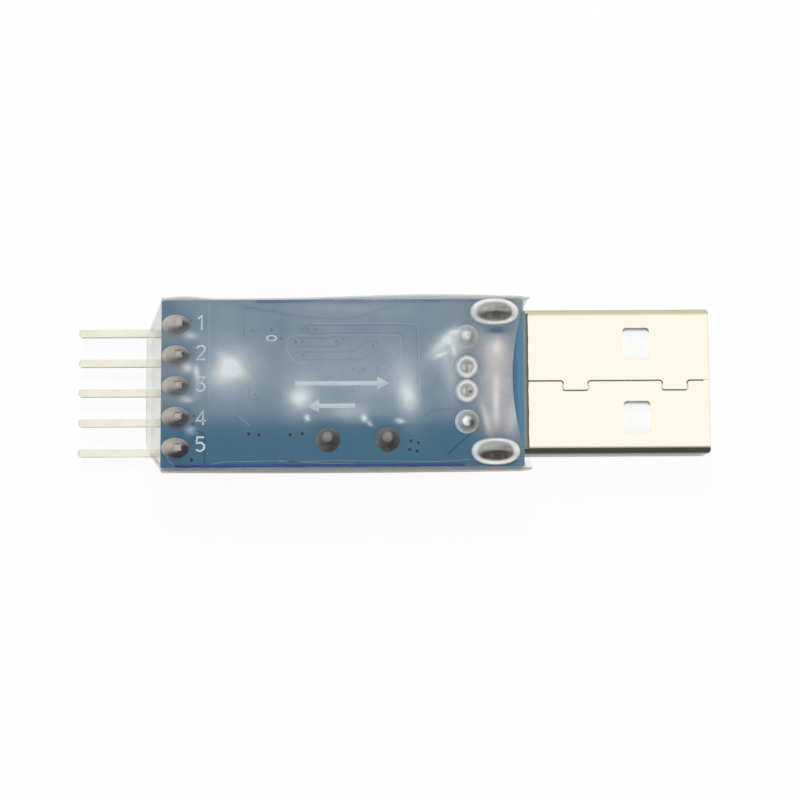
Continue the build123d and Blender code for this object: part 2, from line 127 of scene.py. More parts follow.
@dataclass
class Patch:
    """A surface worked out on a grid of two parameters.

    Attributes:
        points: rows x columns x 3 places, in millimetres.
        round: whether the last column joins the first, as on a tube.
        capped: whether the first and the last row are closed by a fan to their middle.
        tone: rows x columns values from 0 to 1 for the material, or nothing.
    """

    points: Array
    round: bool = True
    capped: bool = False
    tone: Array | None = None

    def quads(self) -> Array:
        """Numbers the four corners of each cell of the grid.

        Returns:
            Cells x 4 indices into the flattened grid.
        """
        rows, columns = self.points.shape[:2]
        index = np.arange(rows * columns).reshape(rows, columns)
        if self.round:
            index = np.concatenate([index, index[:, :1]], axis=1)
        corners = (index[:-1, :-1], index[:-1, 1:], index[1:, 1:], index[1:, :-1])
        return np.stack(corners, axis=-1).reshape(-1, 4)

    def fans(self) -> tuple[Array, Array]:
        """Works out the middle point and the triangles of both caps.

        Returns:
            The extra points, and the triangles with indices into the grid and those points.
        """
        rows, columns = self.points.shape[:2]
        extra, triangles = [], []
        for row, turn in ((0, 1), (rows - 1, -1)) if self.capped else ():
            ring = row * columns + np.arange(columns)
            centre = np.full(columns, rows * columns + len(extra))
            triangles.append(np.stack([ring, np.roll(ring, -1), centre][::turn], axis=-1))
            extra.append(self.points[row].mean(axis=0))
        return np.array(extra).reshape(-1, 3), np.array(triangles, dtype=int).reshape(-1, 3)


def make_mesh(name: str, patches: Sequence[Patch]) -> bpy.types.Mesh:
    """Joins patches into one mesh in metres, with their tones as the attribute "tone".

    Args:
        name: the mesh's name.
        patches: the surfaces to join.

    Returns:
        The mesh.
    """
    points, tones, faces, start = [], [], [], 0
    for patch in patches:
        extra, triangles = patch.fans()
        points.append(np.concatenate([patch.points.reshape(-1, 3), extra]))
        faces += (patch.quads() + start).tolist() + (triangles + start).tolist()
        tone = np.zeros(patch.points.shape[:2]) if patch.tone is None else patch.tone
        ends = [tone[row].mean() for row in (0, -1)] if patch.capped else []
        tones.append(np.concatenate([tone.ravel(), ends]))
        start += len(points[-1])
    mesh = bpy.data.meshes.new(name)
    mesh.from_pydata((np.concatenate(points) * MM).tolist(), [], faces)
    attribute = mesh.attributes.new("tone", "FLOAT", "POINT")
    attribute.data.foreach_set("value", np.concatenate(tones))
    return mesh


def face_outward(mesh: bpy.types.Mesh) -> None:
    """Turns every face of a mesh to the outside of its own shell.

    Args:
        mesh: the mesh to change.
    """
    shape = bmesh.new()
    shape.from_mesh(mesh)
    bmesh.ops.recalc_face_normals(shape, faces=shape.faces)
    shape.to_mesh(mesh)
    shape.free()


def make_piece(
    name: str, patches: Sequence[Patch], finish: Material, shell: bool = False
) -> bpy.types.Object:
    """Puts surfaces into the scene as a piece that rides on the module.

    Args:
        name: the piece's name.
        patches: its surfaces, in place.
        finish: its material.
        shell: whether its surfaces close round something, so that they face away from it.

    Returns:
        The piece.
    """
    mesh = make_mesh(name, patches)
    if shell:
        face_outward(mesh)
    mesh.materials.append(finish)
    mesh.polygons.foreach_set("use_smooth", [True] * len(mesh.polygons))
    piece = bpy.data.objects.new(name, mesh)
    bpy.context.scene.collection.objects.link(piece)
    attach(piece, BODY)
    log.info("%s: %d faces", name, len(mesh.polygons))
    return piece


# Materials


def linear(code: str) -> Quad:
    """Turns an sRGB hex colour into Blender's linear colour.

    Args:
        code: the colour, such as "#2f6f9e".

    Returns:
        Red, green, blue and an alpha of one.
    """
    parts = [int(code[i : i + 2], 16) / 255 for i in (1, 3, 5)]
    red, green, blue = (p / 12.92 if p <= 0.04045 else ((p + 0.055) / 1.055) ** 2.4 for p in parts)
    return red, green, blue, 1.0


# Nearly all of a noise lies between these levels
NOISE_SPAN = {"From Min": 0.3, "From Max": 0.7}


def per_metre(millimetres: float) -> float:
    """Gives a texture's scale for a pattern whose parts are so many millimetres apart."""
    return 1 / (millimetres * MM)


def add_node(
    tree: Tree, kind: str, inputs: dict[Any, Any] | None = None, output: str = "", **settings: Any
) -> Socket | None:
    """Adds a node with its settings and its inputs.

    Args:
        tree: the node tree that takes it.
        kind: the node's type, after "ShaderNode".
        inputs: the value, or the output to link, for each named or numbered input.
        output: the name of the output that is wanted, if not the first one in use.
        **settings: the node's own properties.

    Returns:
        That output, or nothing where the node has none.
    """
    node = tree.nodes.new("ShaderNode" + kind)
    for key, value in settings.items():
        setattr(node, key, value)
    for key, value in (inputs or {}).items():
        if isinstance(value, Socket):
            tree.links.new(value, node.inputs[key])
        else:
            node.inputs[key].default_value = value
    used = (socket for socket in node.outputs if socket.enabled)
    return node.outputs[output] if output else next(used, None)


@dataclass(frozen=True)
class Look:
    """The base of every material; its name says what it is and how it was made."""

    name: str

    def surface(self, tree: Tree) -> Socket:
        """Adds the look's own nodes and returns their shader."""
        raise NotImplementedError(self.name)

    def material(self) -> Material:
        """Builds the material round the look's own nodes.

        Returns:
            The material.
        """
        material = bpy.data.materials.new(self.name)
        material.use_nodes = True
        tree = material.node_tree
        tree.nodes.clear()
        add_node(tree, "OutputMaterial", {"Surface": self.surface(tree)})
        return material


@dataclass(frozen=True)
class Zone:
    """The places that lie further from a middle, along one axis, than a reach.

    Attributes:
        colour: sRGB of the finish there.
        axis: the axis that it is measured along.
        reach: how far from the middle it starts, mm.
        middle: the place that it is measured from, mm.
        soft: how wide its border is, mm.
    """

    colour: str
    axis: str
    reach: float
    middle: float = 0.0
    soft: float = 0.1

    def tint(self, tree: Tree, place: Socket, tone: Socket) -> Socket:
        """Changes a tone inside the zone.

        Args:
            tree: the material's nodes.
            place: the object coordinates.
            tone: the colour outside the zone.

        Returns:
            The colour everywhere.
        """
        along = add_node(tree, "SeparateXYZ", {0: place}, self.axis)
        off = add_node(tree, "Math", {0: along, 1: self.middle * MM}, operation="SUBTRACT")
        away = add_node(tree, "Math", {0: off}, operation="ABSOLUTE")
        border = {"From Min": self.reach * MM, "From Max": (self.reach + self.soft) * MM}
        over = add_node(tree, "MapRange", {"Value": away, **border})
        mix = {"A": tone, "B": linear(self.colour), "Factor": over}
        return add_node(tree, "Mix", mix, data_type="RGBA")


@dataclass(frozen=True)
class Finish(Look):
    """A solid surface with tonal patches, a fine relief and uneven gloss.

    Attributes:
        light: sRGB of its lighter tone.
        dark: sRGB of its darker tone.
        patch: how far apart its tonal patches are, mm.
        grain: how far apart the bumps of its relief are, mm.
        relief: how high they are, mm.
        gloss: its least and greatest roughness.
        metallic: one for bare metal.
        stretch: how much finer the grain is along each axis.
        shaded: whether the piece's own tone, not its patches, blends light into dark; that tone carries
            painted shade and highlights.
        zone: where it turns to another tone, or nowhere.
        mirror: specular level, less where mask or flux dulls the surface.
        uneven: how much the patches add to or take from the piece's own tone.
    """

    light: str
    dark: str
    patch: float
    grain: float
    relief: float
    gloss: Pair
    metallic: float = 0.0
    stretch: Triple = (1.0, 1.0, 1.0)
    shaded: bool = False
    zone: Zone | None = None
    mirror: float = 0.5
    uneven: float = 0.07

    def blend(self, tree: Tree, patches: Socket) -> Socket:
        """Says where the darker tone lies.

        Args:
            tree: the material's nodes.
            patches: the noise of the tonal patches.

        Returns:
            Nothing for the lighter tone, one for the darker.
        """
        if not self.shaded:
            return patches
        tone = add_node(tree, "Attribute", output="Fac", attribute_name="tone")
        swing = {**NOISE_SPAN, "To Min": -self.uneven, "To Max": self.uneven}
        uneven = add_node(tree, "MapRange", {"Value": patches, **swing})
        return add_node(tree, "Math", {0: tone, 1: uneven}, operation="ADD", use_clamp=True)

    def surface(self, tree: Tree) -> Socket:
        """Mixes both tones by the patches, and draws gloss and relief from the stretched grain.

        Args:
            tree: the material's nodes.

        Returns:
            The shader.
        """
        place = add_node(tree, "TexCoord", output="Object")
        stretched = add_node(tree, "Mapping", {"Vector": place, "Scale": self.stretch})
        broad = {"Vector": place, "Scale": per_metre(self.patch), "Detail": 3.0}
        patches = add_node(tree, "TexNoise", broad)
        fine = {"Vector": stretched, "Scale": per_metre(self.grain), "Detail": 4.0}
        grain = add_node(tree, "TexNoise", fine)
        mix = {"A": linear(self.light), "B": linear(self.dark), "Factor": self.blend(tree, patches)}
        tone = add_node(tree, "Mix", mix, data_type="RGBA")
        if self.zone is not None:
            tone = self.zone.tint(tree, place, tone)
        least, most = self.gloss
        gloss = add_node(tree, "MapRange", {"Value": grain, "To Min": least, "To Max": most})
        bump = add_node(tree, "Bump", {"Height": grain, "Strength": 1.0, "Distance": self.relief * MM})
        solid = {"Metallic": self.metallic, "Specular IOR Level": self.mirror}
        return add_node(
            tree, "BsdfPrincipled", {"Base Color": tone, "Roughness": gloss, "Normal": bump, **solid}
        )


@dataclass(frozen=True)
class MaskedBoard(Look):
    """Glass-epoxy board under blue liquid solder mask: a deep gloss blue whose resin shows the
    glass weave faintly, a tone lighter over the copper pour and paler past the film's end."""

    name: str = "solder_mask_on_glass_epoxy"
    mask: str = "#336d8c"
    pour: str = "#2a6080"
    edge: str = "#224e69"
    bare: str = "#5a839b"
    bare_start: float = 10.0
    bare_border: float = 0.5
    bare_share: float = 0.8
    weave: float = 0.5
    weave_share: float = 0.12
    pool: float = 6.0
    relief: float = 0.004
    roughness: float = 0.34
    mirror: float = 0.25

    def surface(self, tree: Tree) -> Socket:
        """Lays broad pools of tone under a cross weave of two waves, their product.

        Args:
            tree: the material's nodes.

        Returns:
            The shader.
        """
        place = add_node(tree, "TexCoord", output="Object")
        pools = add_node(tree, "TexNoise", {"Vector": place, "Scale": per_metre(self.pool)})
        wave = {"Vector": place, "Scale": per_metre(self.weave) / math.tau, "Distortion": 1.5}
        threads = [add_node(tree, "TexWave", wave, "Fac", bands_direction=way) for way in "XY"]
        weave = add_node(tree, "Math", dict(enumerate(threads)), operation="MULTIPLY")
        share = add_node(tree, "Math", {0: weave, 1: self.weave_share}, operation="MULTIPLY")
        along = add_node(tree, "SeparateXYZ", {0: place}, "X")
        start, end = self.bare_start * MM, (self.bare_start + self.bare_border) * MM
        border = {"From Min": start, "From Max": end, "To Max": self.bare_share}
        past = add_node(tree, "MapRange", {"Value": along, **border})
        tone = linear(self.mask)
        for colour, factor in ((self.pour, pools), (self.edge, share), (self.bare, past)):
            mix = {"A": tone, "B": linear(colour), "Factor": factor}
            tone = add_node(tree, "Mix", mix, data_type="RGBA")
        bump = add_node(tree, "Bump", {"Height": weave, "Strength": 1.0, "Distance": self.relief * MM})
        gloss = {"Roughness": self.roughness, "Specular IOR Level": self.mirror}
        return add_node(tree, "BsdfPrincipled", {"Base Color": tone, "Normal": bump, **gloss})


@dataclass(frozen=True)
class PlatedShell(Look):
    """Bright nickel on folded steel sheet: a warm mirror on the broad faces, with drawing lines along the
    plug.
    Where the sheet turns sideways it is painted with shade and reflection: greyer on the north bend, dark
    high on the south wall and light again at its foot."""

    name: str = "nickel_plated_folded_steel"
    face: str = "#fdf9e7"
    # Painted shade and reflection: the next colours and levels darken the metal where it faces sideways,
    # greyer on the north bend and dark high on the south wall above a light foot
    bend: str = "#cbc9ab"
    side: str = "#4a463d"
    side_shade_foot: str = "#fbf9f0"
    side_shade_levels: Pair = (0.5, 0.72)
    bend_shade_start: float = 0.04
    bend_shade_end: float = 0.34
    line_gap: float = 0.12
    line_stretch: Triple = (0.04, 1.0, 1.0)
    roughness: Pair = (0.12, 0.2)
    relief: float = 0.0006

    def surface(self, tree: Tree) -> Socket:
        """Paints shade and reflection: the tone follows how far the metal faces sideways, and on the south
        its height.

        Args:
            tree: the material's nodes.

        Returns:
            The shader.
        """
        place = add_node(tree, "TexCoord", output="Object")
        lines = add_node(tree, "Mapping", {"Vector": place, "Scale": self.line_stretch})
        fine = {"Vector": lines, "Scale": per_metre(self.line_gap), "Detail": 3.0}
        drawn = add_node(tree, "TexNoise", fine)
        facing = add_node(tree, "NewGeometry", output="Normal")
        turned = add_node(tree, "SeparateXYZ", {0: facing}, "Y")
        height = add_node(tree, "SeparateXYZ", {0: place}, "Z")
        low, high = SHELL.low[2], BOARD_UNDER
        levels = [(low + share * (high - low)) * MM for share in self.side_shade_levels]
        rise = add_node(tree, "MapRange", {"Value": height, "From Min": levels[0], "From Max": levels[1]})
        # Painted shade masks: how far the metal turns to the south and to the north
        south, north = (
            add_node(
                tree,
                "MapRange",
                {"Value": turned, "From Min": way * self.bend_shade_start, "From Max": way * self.bend_shade_end},
            )
            for way in (-1, 1)
        )
        side = {"A": linear(self.side_shade_foot), "B": linear(self.side), "Factor": rise}
        bent = {"A": linear(self.face), "B": linear(self.bend), "Factor": north}
        tone = {
            "A": add_node(tree, "Mix", bent, data_type="RGBA"),
            "B": add_node(tree, "Mix", side, data_type="RGBA"),
            "Factor": south,
        }
        metal = {
            "Base Color": add_node(tree, "Mix", tone, data_type="RGBA"),
            "Roughness": add_node(
                tree, "MapRange", {"Value": drawn, "To Min": self.roughness[0], "To Max": self.roughness[1]}
            ),
            "Normal": add_node(
                tree, "Bump", {"Height": drawn, "Strength": 1.0, "Distance": self.relief * MM}
            ),
            "Metallic": 1.0,
        }
        return add_node(tree, "BsdfPrincipled", metal)


@dataclass(frozen=True)
class ClearFilm(Look):
    """Blown polyolefin shrink film: it lets the board show, shines like thin glossy plastic,
    and turns milky where it has lifted off what it covers; the same milk carries painted glares and glints."""

    name: str = "clear_shrink_film"
    tint: str = "#f9faf9"
    thin_milk: str = "#d8e5ee"
    cool_milk: str = "#e6eef1"
    warm_milk: Zone = Zone("#e9e5e4", "X", 10.0, -5.5, 2.5)
    milk_depths: Pair = (0.2, 0.5)
    shadow: str = "#9f9e99"
    shadow_shares: Pair = (0.9, 0.35)
    shadow_border: float = 0.08
    index: float = 1.38
    roughness: float = 0.2
    cloud: float = 1.2
    cloud_swing: Pair = (0.9, 1.1)
    ripple: float = 1.8
    relief: float = 0.012

    def milk(self, tree: Tree, place: Socket, veil: Socket) -> Socket:
        """Colours the milk: bluish over the bare board, more so where it is thin, warm by the
        plug's joints and by the header, and grey as painted shade on the walls beside the board.

        Args:
            tree: the material's nodes.
            place: the object coordinates.
            veil: how milky the film is.

        Returns:
            The milk's colour.
        """
        thin, thick = self.milk_depths
        depth = add_node(tree, "MapRange", {"Value": veil, "From Min": thin, "From Max": thick})
        mix = {"A": linear(self.thin_milk), "B": linear(self.cool_milk), "Factor": depth}
        tone = self.warm_milk.tint(tree, place, add_node(tree, "Mix", mix, data_type="RGBA"))
        across = add_node(tree, "SeparateXYZ", {0: place}, "Y")
        # Painted shade: the walls beside the board turn grey, the south one most
        for edge, share in zip((BOARD.low[1], BOARD.high[1]), self.shadow_shares):
            past = edge + math.copysign(self.shadow_border, edge)
            border = {"From Min": edge * MM, "From Max": past * MM, "To Max": share}
            beside = add_node(tree, "MapRange", {"Value": across, **border})
            mix = {"A": tone, "B": linear(self.shadow), "Factor": beside}
            tone = add_node(tree, "Mix", mix, data_type="RGBA")
        return tone

    def surface(self, tree: Tree) -> Socket:
        """Mixes see-through with milk by the piece's tone, then with gloss by angle on the face
        that is turned to the light.

        Args:
            tree: the material's nodes.

        Returns:
            The shader.
        """
        place = add_node(tree, "TexCoord", output="Object")
        veil = add_node(tree, "Attribute", output="Fac", attribute_name="tone")
        cloud, ripple = (
            add_node(tree, "TexNoise", {"Vector": place, "Scale": per_metre(gap), "Detail": detail})
            for gap, detail in ((self.cloud, 5.0), (self.ripple, 2.0))
        )
        least, most = self.cloud_swing
        swing = {**NOISE_SPAN, "To Min": least, "To Max": most}
        patchy = add_node(tree, "MapRange", {"Value": cloud, **swing})
        milky = add_node(tree, "Math", {0: veil, 1: patchy}, operation="MULTIPLY")
        bump = add_node(tree, "Bump", {"Height": ripple, "Strength": 1.0, "Distance": self.relief * MM})
        clear = add_node(tree, "BsdfTransparent", {"Color": linear(self.tint)})
        milk = add_node(tree, "BsdfDiffuse", {"Color": self.milk(tree, place, veil)})
        gloss = add_node(
            tree, "BsdfGlossy", {"Color": WHITE, "Roughness": self.roughness, "Normal": bump}
        )
        sheen = add_node(tree, "Fresnel", {"IOR": self.index, "Normal": bump})
        back = add_node(tree, "NewGeometry", output="Backfacing")
        front = add_node(tree, "Math", {0: 1.0, 1: back}, operation="SUBTRACT")
        shine = add_node(tree, "Math", {0: sheen, 1: front}, operation="MULTIPLY")
        body = add_node(tree, "MixShader", {0: milky, 1: clear, 2: milk})
        return add_node(tree, "MixShader", {0: shine, 1: body, 2: gloss})


@dataclass(frozen=True)
class PaperFloor(Look):
    """Pale matt paper: it shows white to the camera but keeps a soft shadow, and isn't seen from
    below."""

    name: str = "pale_paper_floor"
    paper: str = "#f2f2f2"
    shown: float = 0.93

    def surface(self, tree: Tree) -> Socket:
        """Mixes paper with white for the camera, and clears the underside.

        Args:
            tree: the material's nodes.

        Returns:
            The shader.
        """
        paper = add_node(tree, "BsdfDiffuse", {"Color": linear(self.paper)})
        white = add_node(tree, "Emission", {"Strength": 1.0})
        seen = add_node(tree, "LightPath", output="Is Camera Ray")
        share = add_node(tree, "Math", {0: seen, 1: self.shown}, operation="MULTIPLY")
        lit = add_node(tree, "MixShader", {0: share, 1: paper, 2: white})
        below = add_node(tree, "NewGeometry", output="Backfacing")
        return add_node(tree, "MixShader", {0: below, 1: lit, 2: add_node(tree, "BsdfTransparent")})


# Silk-screen epoxy ink: flat white with a faint grain, no gloss
INK = Finish("screened_white_ink", "#f2f4f4", "#dfe4e6", 1.5, 0.08, 0.002, (0.5, 0.65))
# Solder mask over a copper track: paler than the pour round it
TRACK = Finish("mask_over_copper_track", "#3f7b98", "#38738f", 2.0, 0.2, 0.002, (0.3, 0.38))
# The gap beside a track, where the mask lies straight on the resin: a deeper, purplish blue
GAP = Finish("mask_over_bare_resin", "#24508a", "#20467c", 2.0, 0.2, 0.002, (0.32, 0.4), mirror=0.05)
# The drilled middle of a small plated hole: almost black, painted shade of the hole's depth
HOLE = Finish("drilled_plated_hole", "#10304f", "#0c2742", 2.0, 0.2, 0.002, (0.4, 0.5), mirror=0.05)
# The rim of a copper area, where the mask runs thin: a pale line
RIM = Finish("thin_mask_on_copper_rim", "#7398ab", "#668c9f", 2.0, 0.2, 0.002, (0.3, 0.4))
# Tin-lead solder, cooled bright: near white on its crests, and dark brown where it dips or turns from the
# light, painted shade with some rosin in the hollows
SOLDER = Finish(
    "cooled_tin_solder", "#ffffff", "#352b27", 0.5, 0.25, 0.008, (0.26, 0.4), metallic=0.6, shaded=True,
    mirror=0.3,
)
# Solder under cooked rosin flux: the same metal gone brownish grey, its darker tone laid on by each joint's
# painted shade
FLUXED = Finish(
    "solder_under_rosin_flux", "#dacdc7", "#271a17", 0.5, 0.3, 0.01, (0.28, 0.44), metallic=0.2, shaded=True,
    mirror=0.2,
)
# Solder fillets of the component side, plain and bright
FILLET = Finish("bright_solder_fillet", "#d9d7cf", "#b1ada4", 0.4, 0.2, 0.004, (0.22, 0.36), metallic=1.0)
# Rosin along the board's edge, its dark colour painted shadow and reflection of the board's end on the shell
BEAD_SHADOW = Finish("rosin_with_painted_edge_shadow", "#95978b", "#4a4234", 0.6, 0.15, 0.006, (0.35, 0.5), shaded=True)
# Bright tin on drawn brass wire: warm white metal with lines along its length, greyer where solder wet it
PIN_TIN = Finish(
    "bright_tin_on_drawn_brass", "#f8f5e5", "#e4e0cf", 2.0, 0.12, 0.001, (0.2, 0.3), metallic=1.0,
    stretch=(0.1, 1.0, 1.0), zone=Zone("#b9b3ac", "Z", BOARD_TOP),
)
# Matt tin on stamped lead frame: grey satin metal, greyer where solder wet it
LEAD_TIN = Finish(
    "matt_tin_on_lead_frame", "#c9c8c4", "#aaa9a4", 0.6, 0.05, 0.001, (0.32, 0.45), metallic=1.0,
    zone=Zone("#8d8781", "Z", BOARD_TOP),
)
# Flash gold on stamped phosphor bronze: thin warm yellow metal, its soldered tail plain tin
GOLD = Finish(
    "flash_gold_on_bronze", "#e8c070", "#d2a452", 1.2, 0.08, 0.0008, (0.22, 0.32), metallic=1.0,
    zone=Zone("#a5a19b", "Z", BOARD_UNDER),
)
# Drawn nickel silver can: bright grey with a faint brushed grain along it
CAN = Finish(
    "drawn_nickel_silver", "#d6d5d0", "#bcbab4", 3.0, 0.06, 0.0015, (0.22, 0.34), metallic=1.0,
    stretch=(0.08, 1.0, 1.0),
)
# Glass-filled polyester, injection moulded: soft white, even
INSULATOR = Finish("moulded_white_polyester", "#fefefe", "#fafafa", 4.0, 0.15, 0.003, (0.42, 0.52))
# Glass-filled nylon, injection moulded: near black with a slight sheen
HEADER_PLASTIC = Finish("moulded_black_nylon", "#1d1d1e", "#141415", 2.0, 0.12, 0.004, (0.42, 0.55))
# Epoxy moulding compound, eroded mould: dull black with a sandy grain
EPOXY = Finish("moulded_epoxy_compound", "#232426", "#19191b", 1.2, 0.07, 0.006, (0.55, 0.7))
# Resistor body: black glaze over a film on alumina
GLAZE = Finish("black_resistor_glaze", "#17181b", "#101113", 0.6, 0.1, 0.002, (0.25, 0.35))
# Fired multilayer ceramic: tan, fine and dull
CERAMIC = Finish("fired_tan_ceramic", "#b08d64", "#9b7850", 0.5, 0.05, 0.002, (0.4, 0.5))
# Clear epoxy lens over a phosphor-white base
LENS = Finish("cast_clear_epoxy_lens", "#f1efdc", "#e2dfc6", 0.5, 0.2, 0.001, (0.08, 0.14))


def dress(node: str, finish: Material) -> None:
    """Gives a frame node its material.

    Args:
        node: the node's name.
        finish: the material.
    """
    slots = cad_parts[node].data.materials
    slots.clear()
    slots.append(finish)


# The board's own marks

STRIP_FOOT = 0.001
MITRE_LIMIT = 1.5
TINY = 1e-6


def strip(corners: Line, widths: Sequence[float], rise: float) -> Patch:
    """A low flat strip: at each corner both edges lie half a width to the side, pushed out by one
    over the cosine of half the bend but at most by half as much again, and drop to the board.

    Args:
        corners: the strip's middle line.
        widths: how wide it is at each corner.
        rise: its height over the board.

    Returns:
        The strip.
    """
    path = np.array(corners, dtype=float)
    steps = np.diff(path, axis=0)
    steps /= np.linalg.norm(steps, axis=1, keepdims=True)
    before = np.concatenate([steps[:1], steps])
    after = np.concatenate([steps, steps[-1:]])
    along = before + after
    along /= np.maximum(np.linalg.norm(along, axis=1, keepdims=True), TINY)
    stretch = np.minimum(1 / np.maximum(np.sum(along * before, axis=1), TINY), MITRE_LIMIT)
    aside = np.stack([-along[:, 1], along[:, 0]], axis=1)
    aside *= (stretch * np.array(widths) / 2)[:, None]
    edges = np.stack([path + aside, path + aside, path - aside, path - aside], axis=1)
    levels = BOARD_TOP + np.array([STRIP_FOOT, rise, rise, STRIP_FOOT])
    levels = np.broadcast_to(levels[None, :, None], edges.shape[:2] + (1,))
    return Patch(np.concatenate([edges, levels], axis=2), round=False)


def line(corners: Line, width: float, rise: float) -> Patch:
    """A strip that is equally wide all the way."""
    return strip(corners, [width] * len(corners), rise)


def eased(corners: Line, rounds: int = 3) -> Array:
    """Rounds a line off: each round cuts every corner at a quarter of the runs beside it.

    Args:
        corners: the line's corners.
        rounds: how often they are cut.

    Returns:
        The eased line.
    """
    path = np.array(corners, dtype=float)
    for _ in range(rounds):
        near = 0.75 * path[:-1] + 0.25 * path[1:]
        far = 0.25 * path[:-1] + 0.75 * path[1:]
        middle = np.stack([near, far], axis=1).reshape(-1, 2)
        path = np.concatenate([path[:1], middle, path[-1:]])
    return path


DIGITS: dict[str, Line] = {
    "1": ((0.1, 0.78), (0.36, 1.0), (0.36, 0.0)),
    "2": ((0.02, 0.8), (0.14, 0.96), (0.42, 1.0), (0.6, 0.84), (0.56, 0.6), (0.0, 0.0), (0.64, 0.0)),
    "3": ((0.02, 1.0), (0.6, 1.0), (0.28, 0.6), (0.5, 0.54), (0.62, 0.3), (0.48, 0.05), (0.16, 0.0),
          (0.0, 0.14)),
    "4": ((0.48, 0.0), (0.48, 1.0), (0.0, 0.3), (0.66, 0.3)),
    "5": ((0.58, 1.0), (0.08, 1.0), (0.04, 0.56), (0.36, 0.62), (0.6, 0.42), (0.56, 0.14), (0.3, 0.0),
          (0.0, 0.1)),
}


@dataclass
class BoardMarks:
    """The tracks, holes and white marks on the solder side of the board.

    Attributes:
        gap_width: width of the bare resin beside a track.
        rim_width: width of a pale line.
        mask_rise: how far the mask stands over copper.
        gaps: the edges of the tracks, from end to end.
        rims: copper edges that show as pale lines.
        vias: places of the small plated holes.
        via_radius: outer radius of a hole's ring.
        via_hole: radius of the hole.
        via_point: radius at which the hole's dark disc closes.
        via_oval: the ink oval round one of them: its place and both radii.
        oval_line: how wide that oval's ink is, along and across the board.
        ring_sides: how many sides a ring has.
        label_ys: the middles of the plain numbers beside the header.
        label_x: where the numbers start.
        label_height: height of a digit.
        ink_width: width of a digit's stroke.
        ink_rise: how thick the ink lies.
        arrows: place across, tail and tip of the two arrows in the middle.
        arrow_shaft: width of an arrow's shaft.
        arrow_head: length and width of its head.
        arrow_tip: how blunt it ends.
    """

    gap_width: float = 0.13
    rim_width: float = 0.07
    mask_rise: float = 0.012
    gaps: Sequence[Line] = (
        ((2.23, -1.33), (2.23, 4.5), (1.9, 4.83), (-6.7, 4.83), (-7.25, 4.5), (-6.7, 4.13),
         (0.75, 4.13), (1.05, 3.83), (1.05, -1.3)),
        ((-7.9, 3.08), (-4.5, 3.08), (-3.75, 3.55), (-4.3, 3.98), (-4.9, 3.75), (-7.6, 3.75)),
        ((-7.8, 2.62), (-3.0, 2.62), (-1.9, 3.5), (-1.1, 3.4), (-1.0, 2.9), (-2.3, 1.98), (-7.4, 1.98)),
        ((-16.4, -3.9), (-15.5, -3.9), (-15.2, -4.2), (-15.2, -6.85)),
        ((-11.6, 0.4), (-11.6, -1.3), (-10.9, -1.3), (-10.9, 0.4), (-11.6, 0.4)),
        ((-12.0, 5.5), (-12.0, 3.9)),
        ((5.3, -2.2), (3.4, -2.2), (2.8, -2.8)),
        ((4.6, -5.9), (6.6, -4.1), (6.6, -2.4)),
    )
    rims: Sequence[Line] = (
        ((-14.87, 6.6), (-14.87, -1.3)),
        ((-6.6, 4.02), (-8.3, 3.95), (-8.62, 3.3), (-8.3, 2.4), (-7.9, 1.75), (-7.0, 1.6)),
        ((2.35, -1.3), (2.35, 4.6), (1.98, 4.95), (-6.4, 4.95)),
        ((0.93, -1.3), (0.93, 3.75), (0.68, 4.01), (-5.2, 4.01)),
        ((-12.5, -2.6), (-11.5, -3.5)),
    )
    vias: Line = (
        (-11.33, 4.41), (-9.77, 4.46), (-9.76, 3.76), (-8.97, 3.75), (-6.74, 4.48), (-6.09, 4.48),
        (-7.77, 3.46), (-7.19, 3.46), (-7.15, 2.32), (-4.42, 3.46), (-1.39, 3.09), (-3.13, 1.21),
        (-2.18, 1.21), (-1.13, 1.29), (-0.02, 1.32), (1.64, -4.76), (2.25, -4.91), (1.55, -5.47),
        (2.15, -5.6), (-11.58, -4.12), (-10.76, -4.2), (-8.22, -4.2), (-7.23, -4.12),
        (-16.25, -6.25), (-16.09, -2.64), (-16.17, -3.3), (-11.1, -0.9),
    )
    via_radius: float = 0.23
    via_hole: float = 0.17
    via_point: float = 0.02
    via_oval: tuple[Pair, float, float] = ((-9.76, 3.76), 0.46, 0.26)
    oval_line: Pair = (0.12, 0.1)
    ring_sides: int = 20
    label_ys: Sequence[float] = (5.07, 2.6, -0.02, -2.8, -4.95)
    label_x: float = -15.9
    label_height: float = 1.15
    ink_width: float = 0.15
    ink_rise: float = 0.02
    arrows: Sequence[Triple] = ((0.0, -7.8, -0.15), (-1.85, -2.9, -6.8))
    arrow_shaft: float = 0.36
    arrow_head: Pair = (0.95, 1.1)
    arrow_tip: float = 0.05

    def ring(self, place: Pair, outer: Pair, inner: Pair, rise: float) -> Patch:
        """A low ring: its profile of three radii is turned once round its place.

        Args:
            place: the ring's middle.
            outer: its outer radius along and across the board.
            inner: its inner radius along and across the board.
            rise: its height.

        Returns:
            The ring.
        """
        turn = np.linspace(0, math.tau, self.ring_sides, endpoint=False)
        steps = np.array([0.0, 0.33, 1.0])[:, None]
        heights = np.array([2 * STRIP_FOOT, rise, rise / 2])[:, None]
        radii = [outer[i] * (1 - steps) + inner[i] * steps for i in (0, 1)]
        x = place[0] + radii[0] * np.cos(turn)
        y = place[1] + radii[1] * np.sin(turn)
        return Patch(np.stack([x, y, BOARD_TOP + heights + 0 * turn], axis=-1))

    def digit(self, text: str, y: float) -> Patch:
        """One plain number, drawn in a single stroke of ink.

        Args:
            text: the number.
            y: the middle of its height on the board.

        Returns:
            The stroke.
        """
        corners = np.array(DIGITS[text]) * self.label_height
        corners += (self.label_x, y - self.label_height / 2)
        return line(corners, self.ink_width, self.ink_rise)

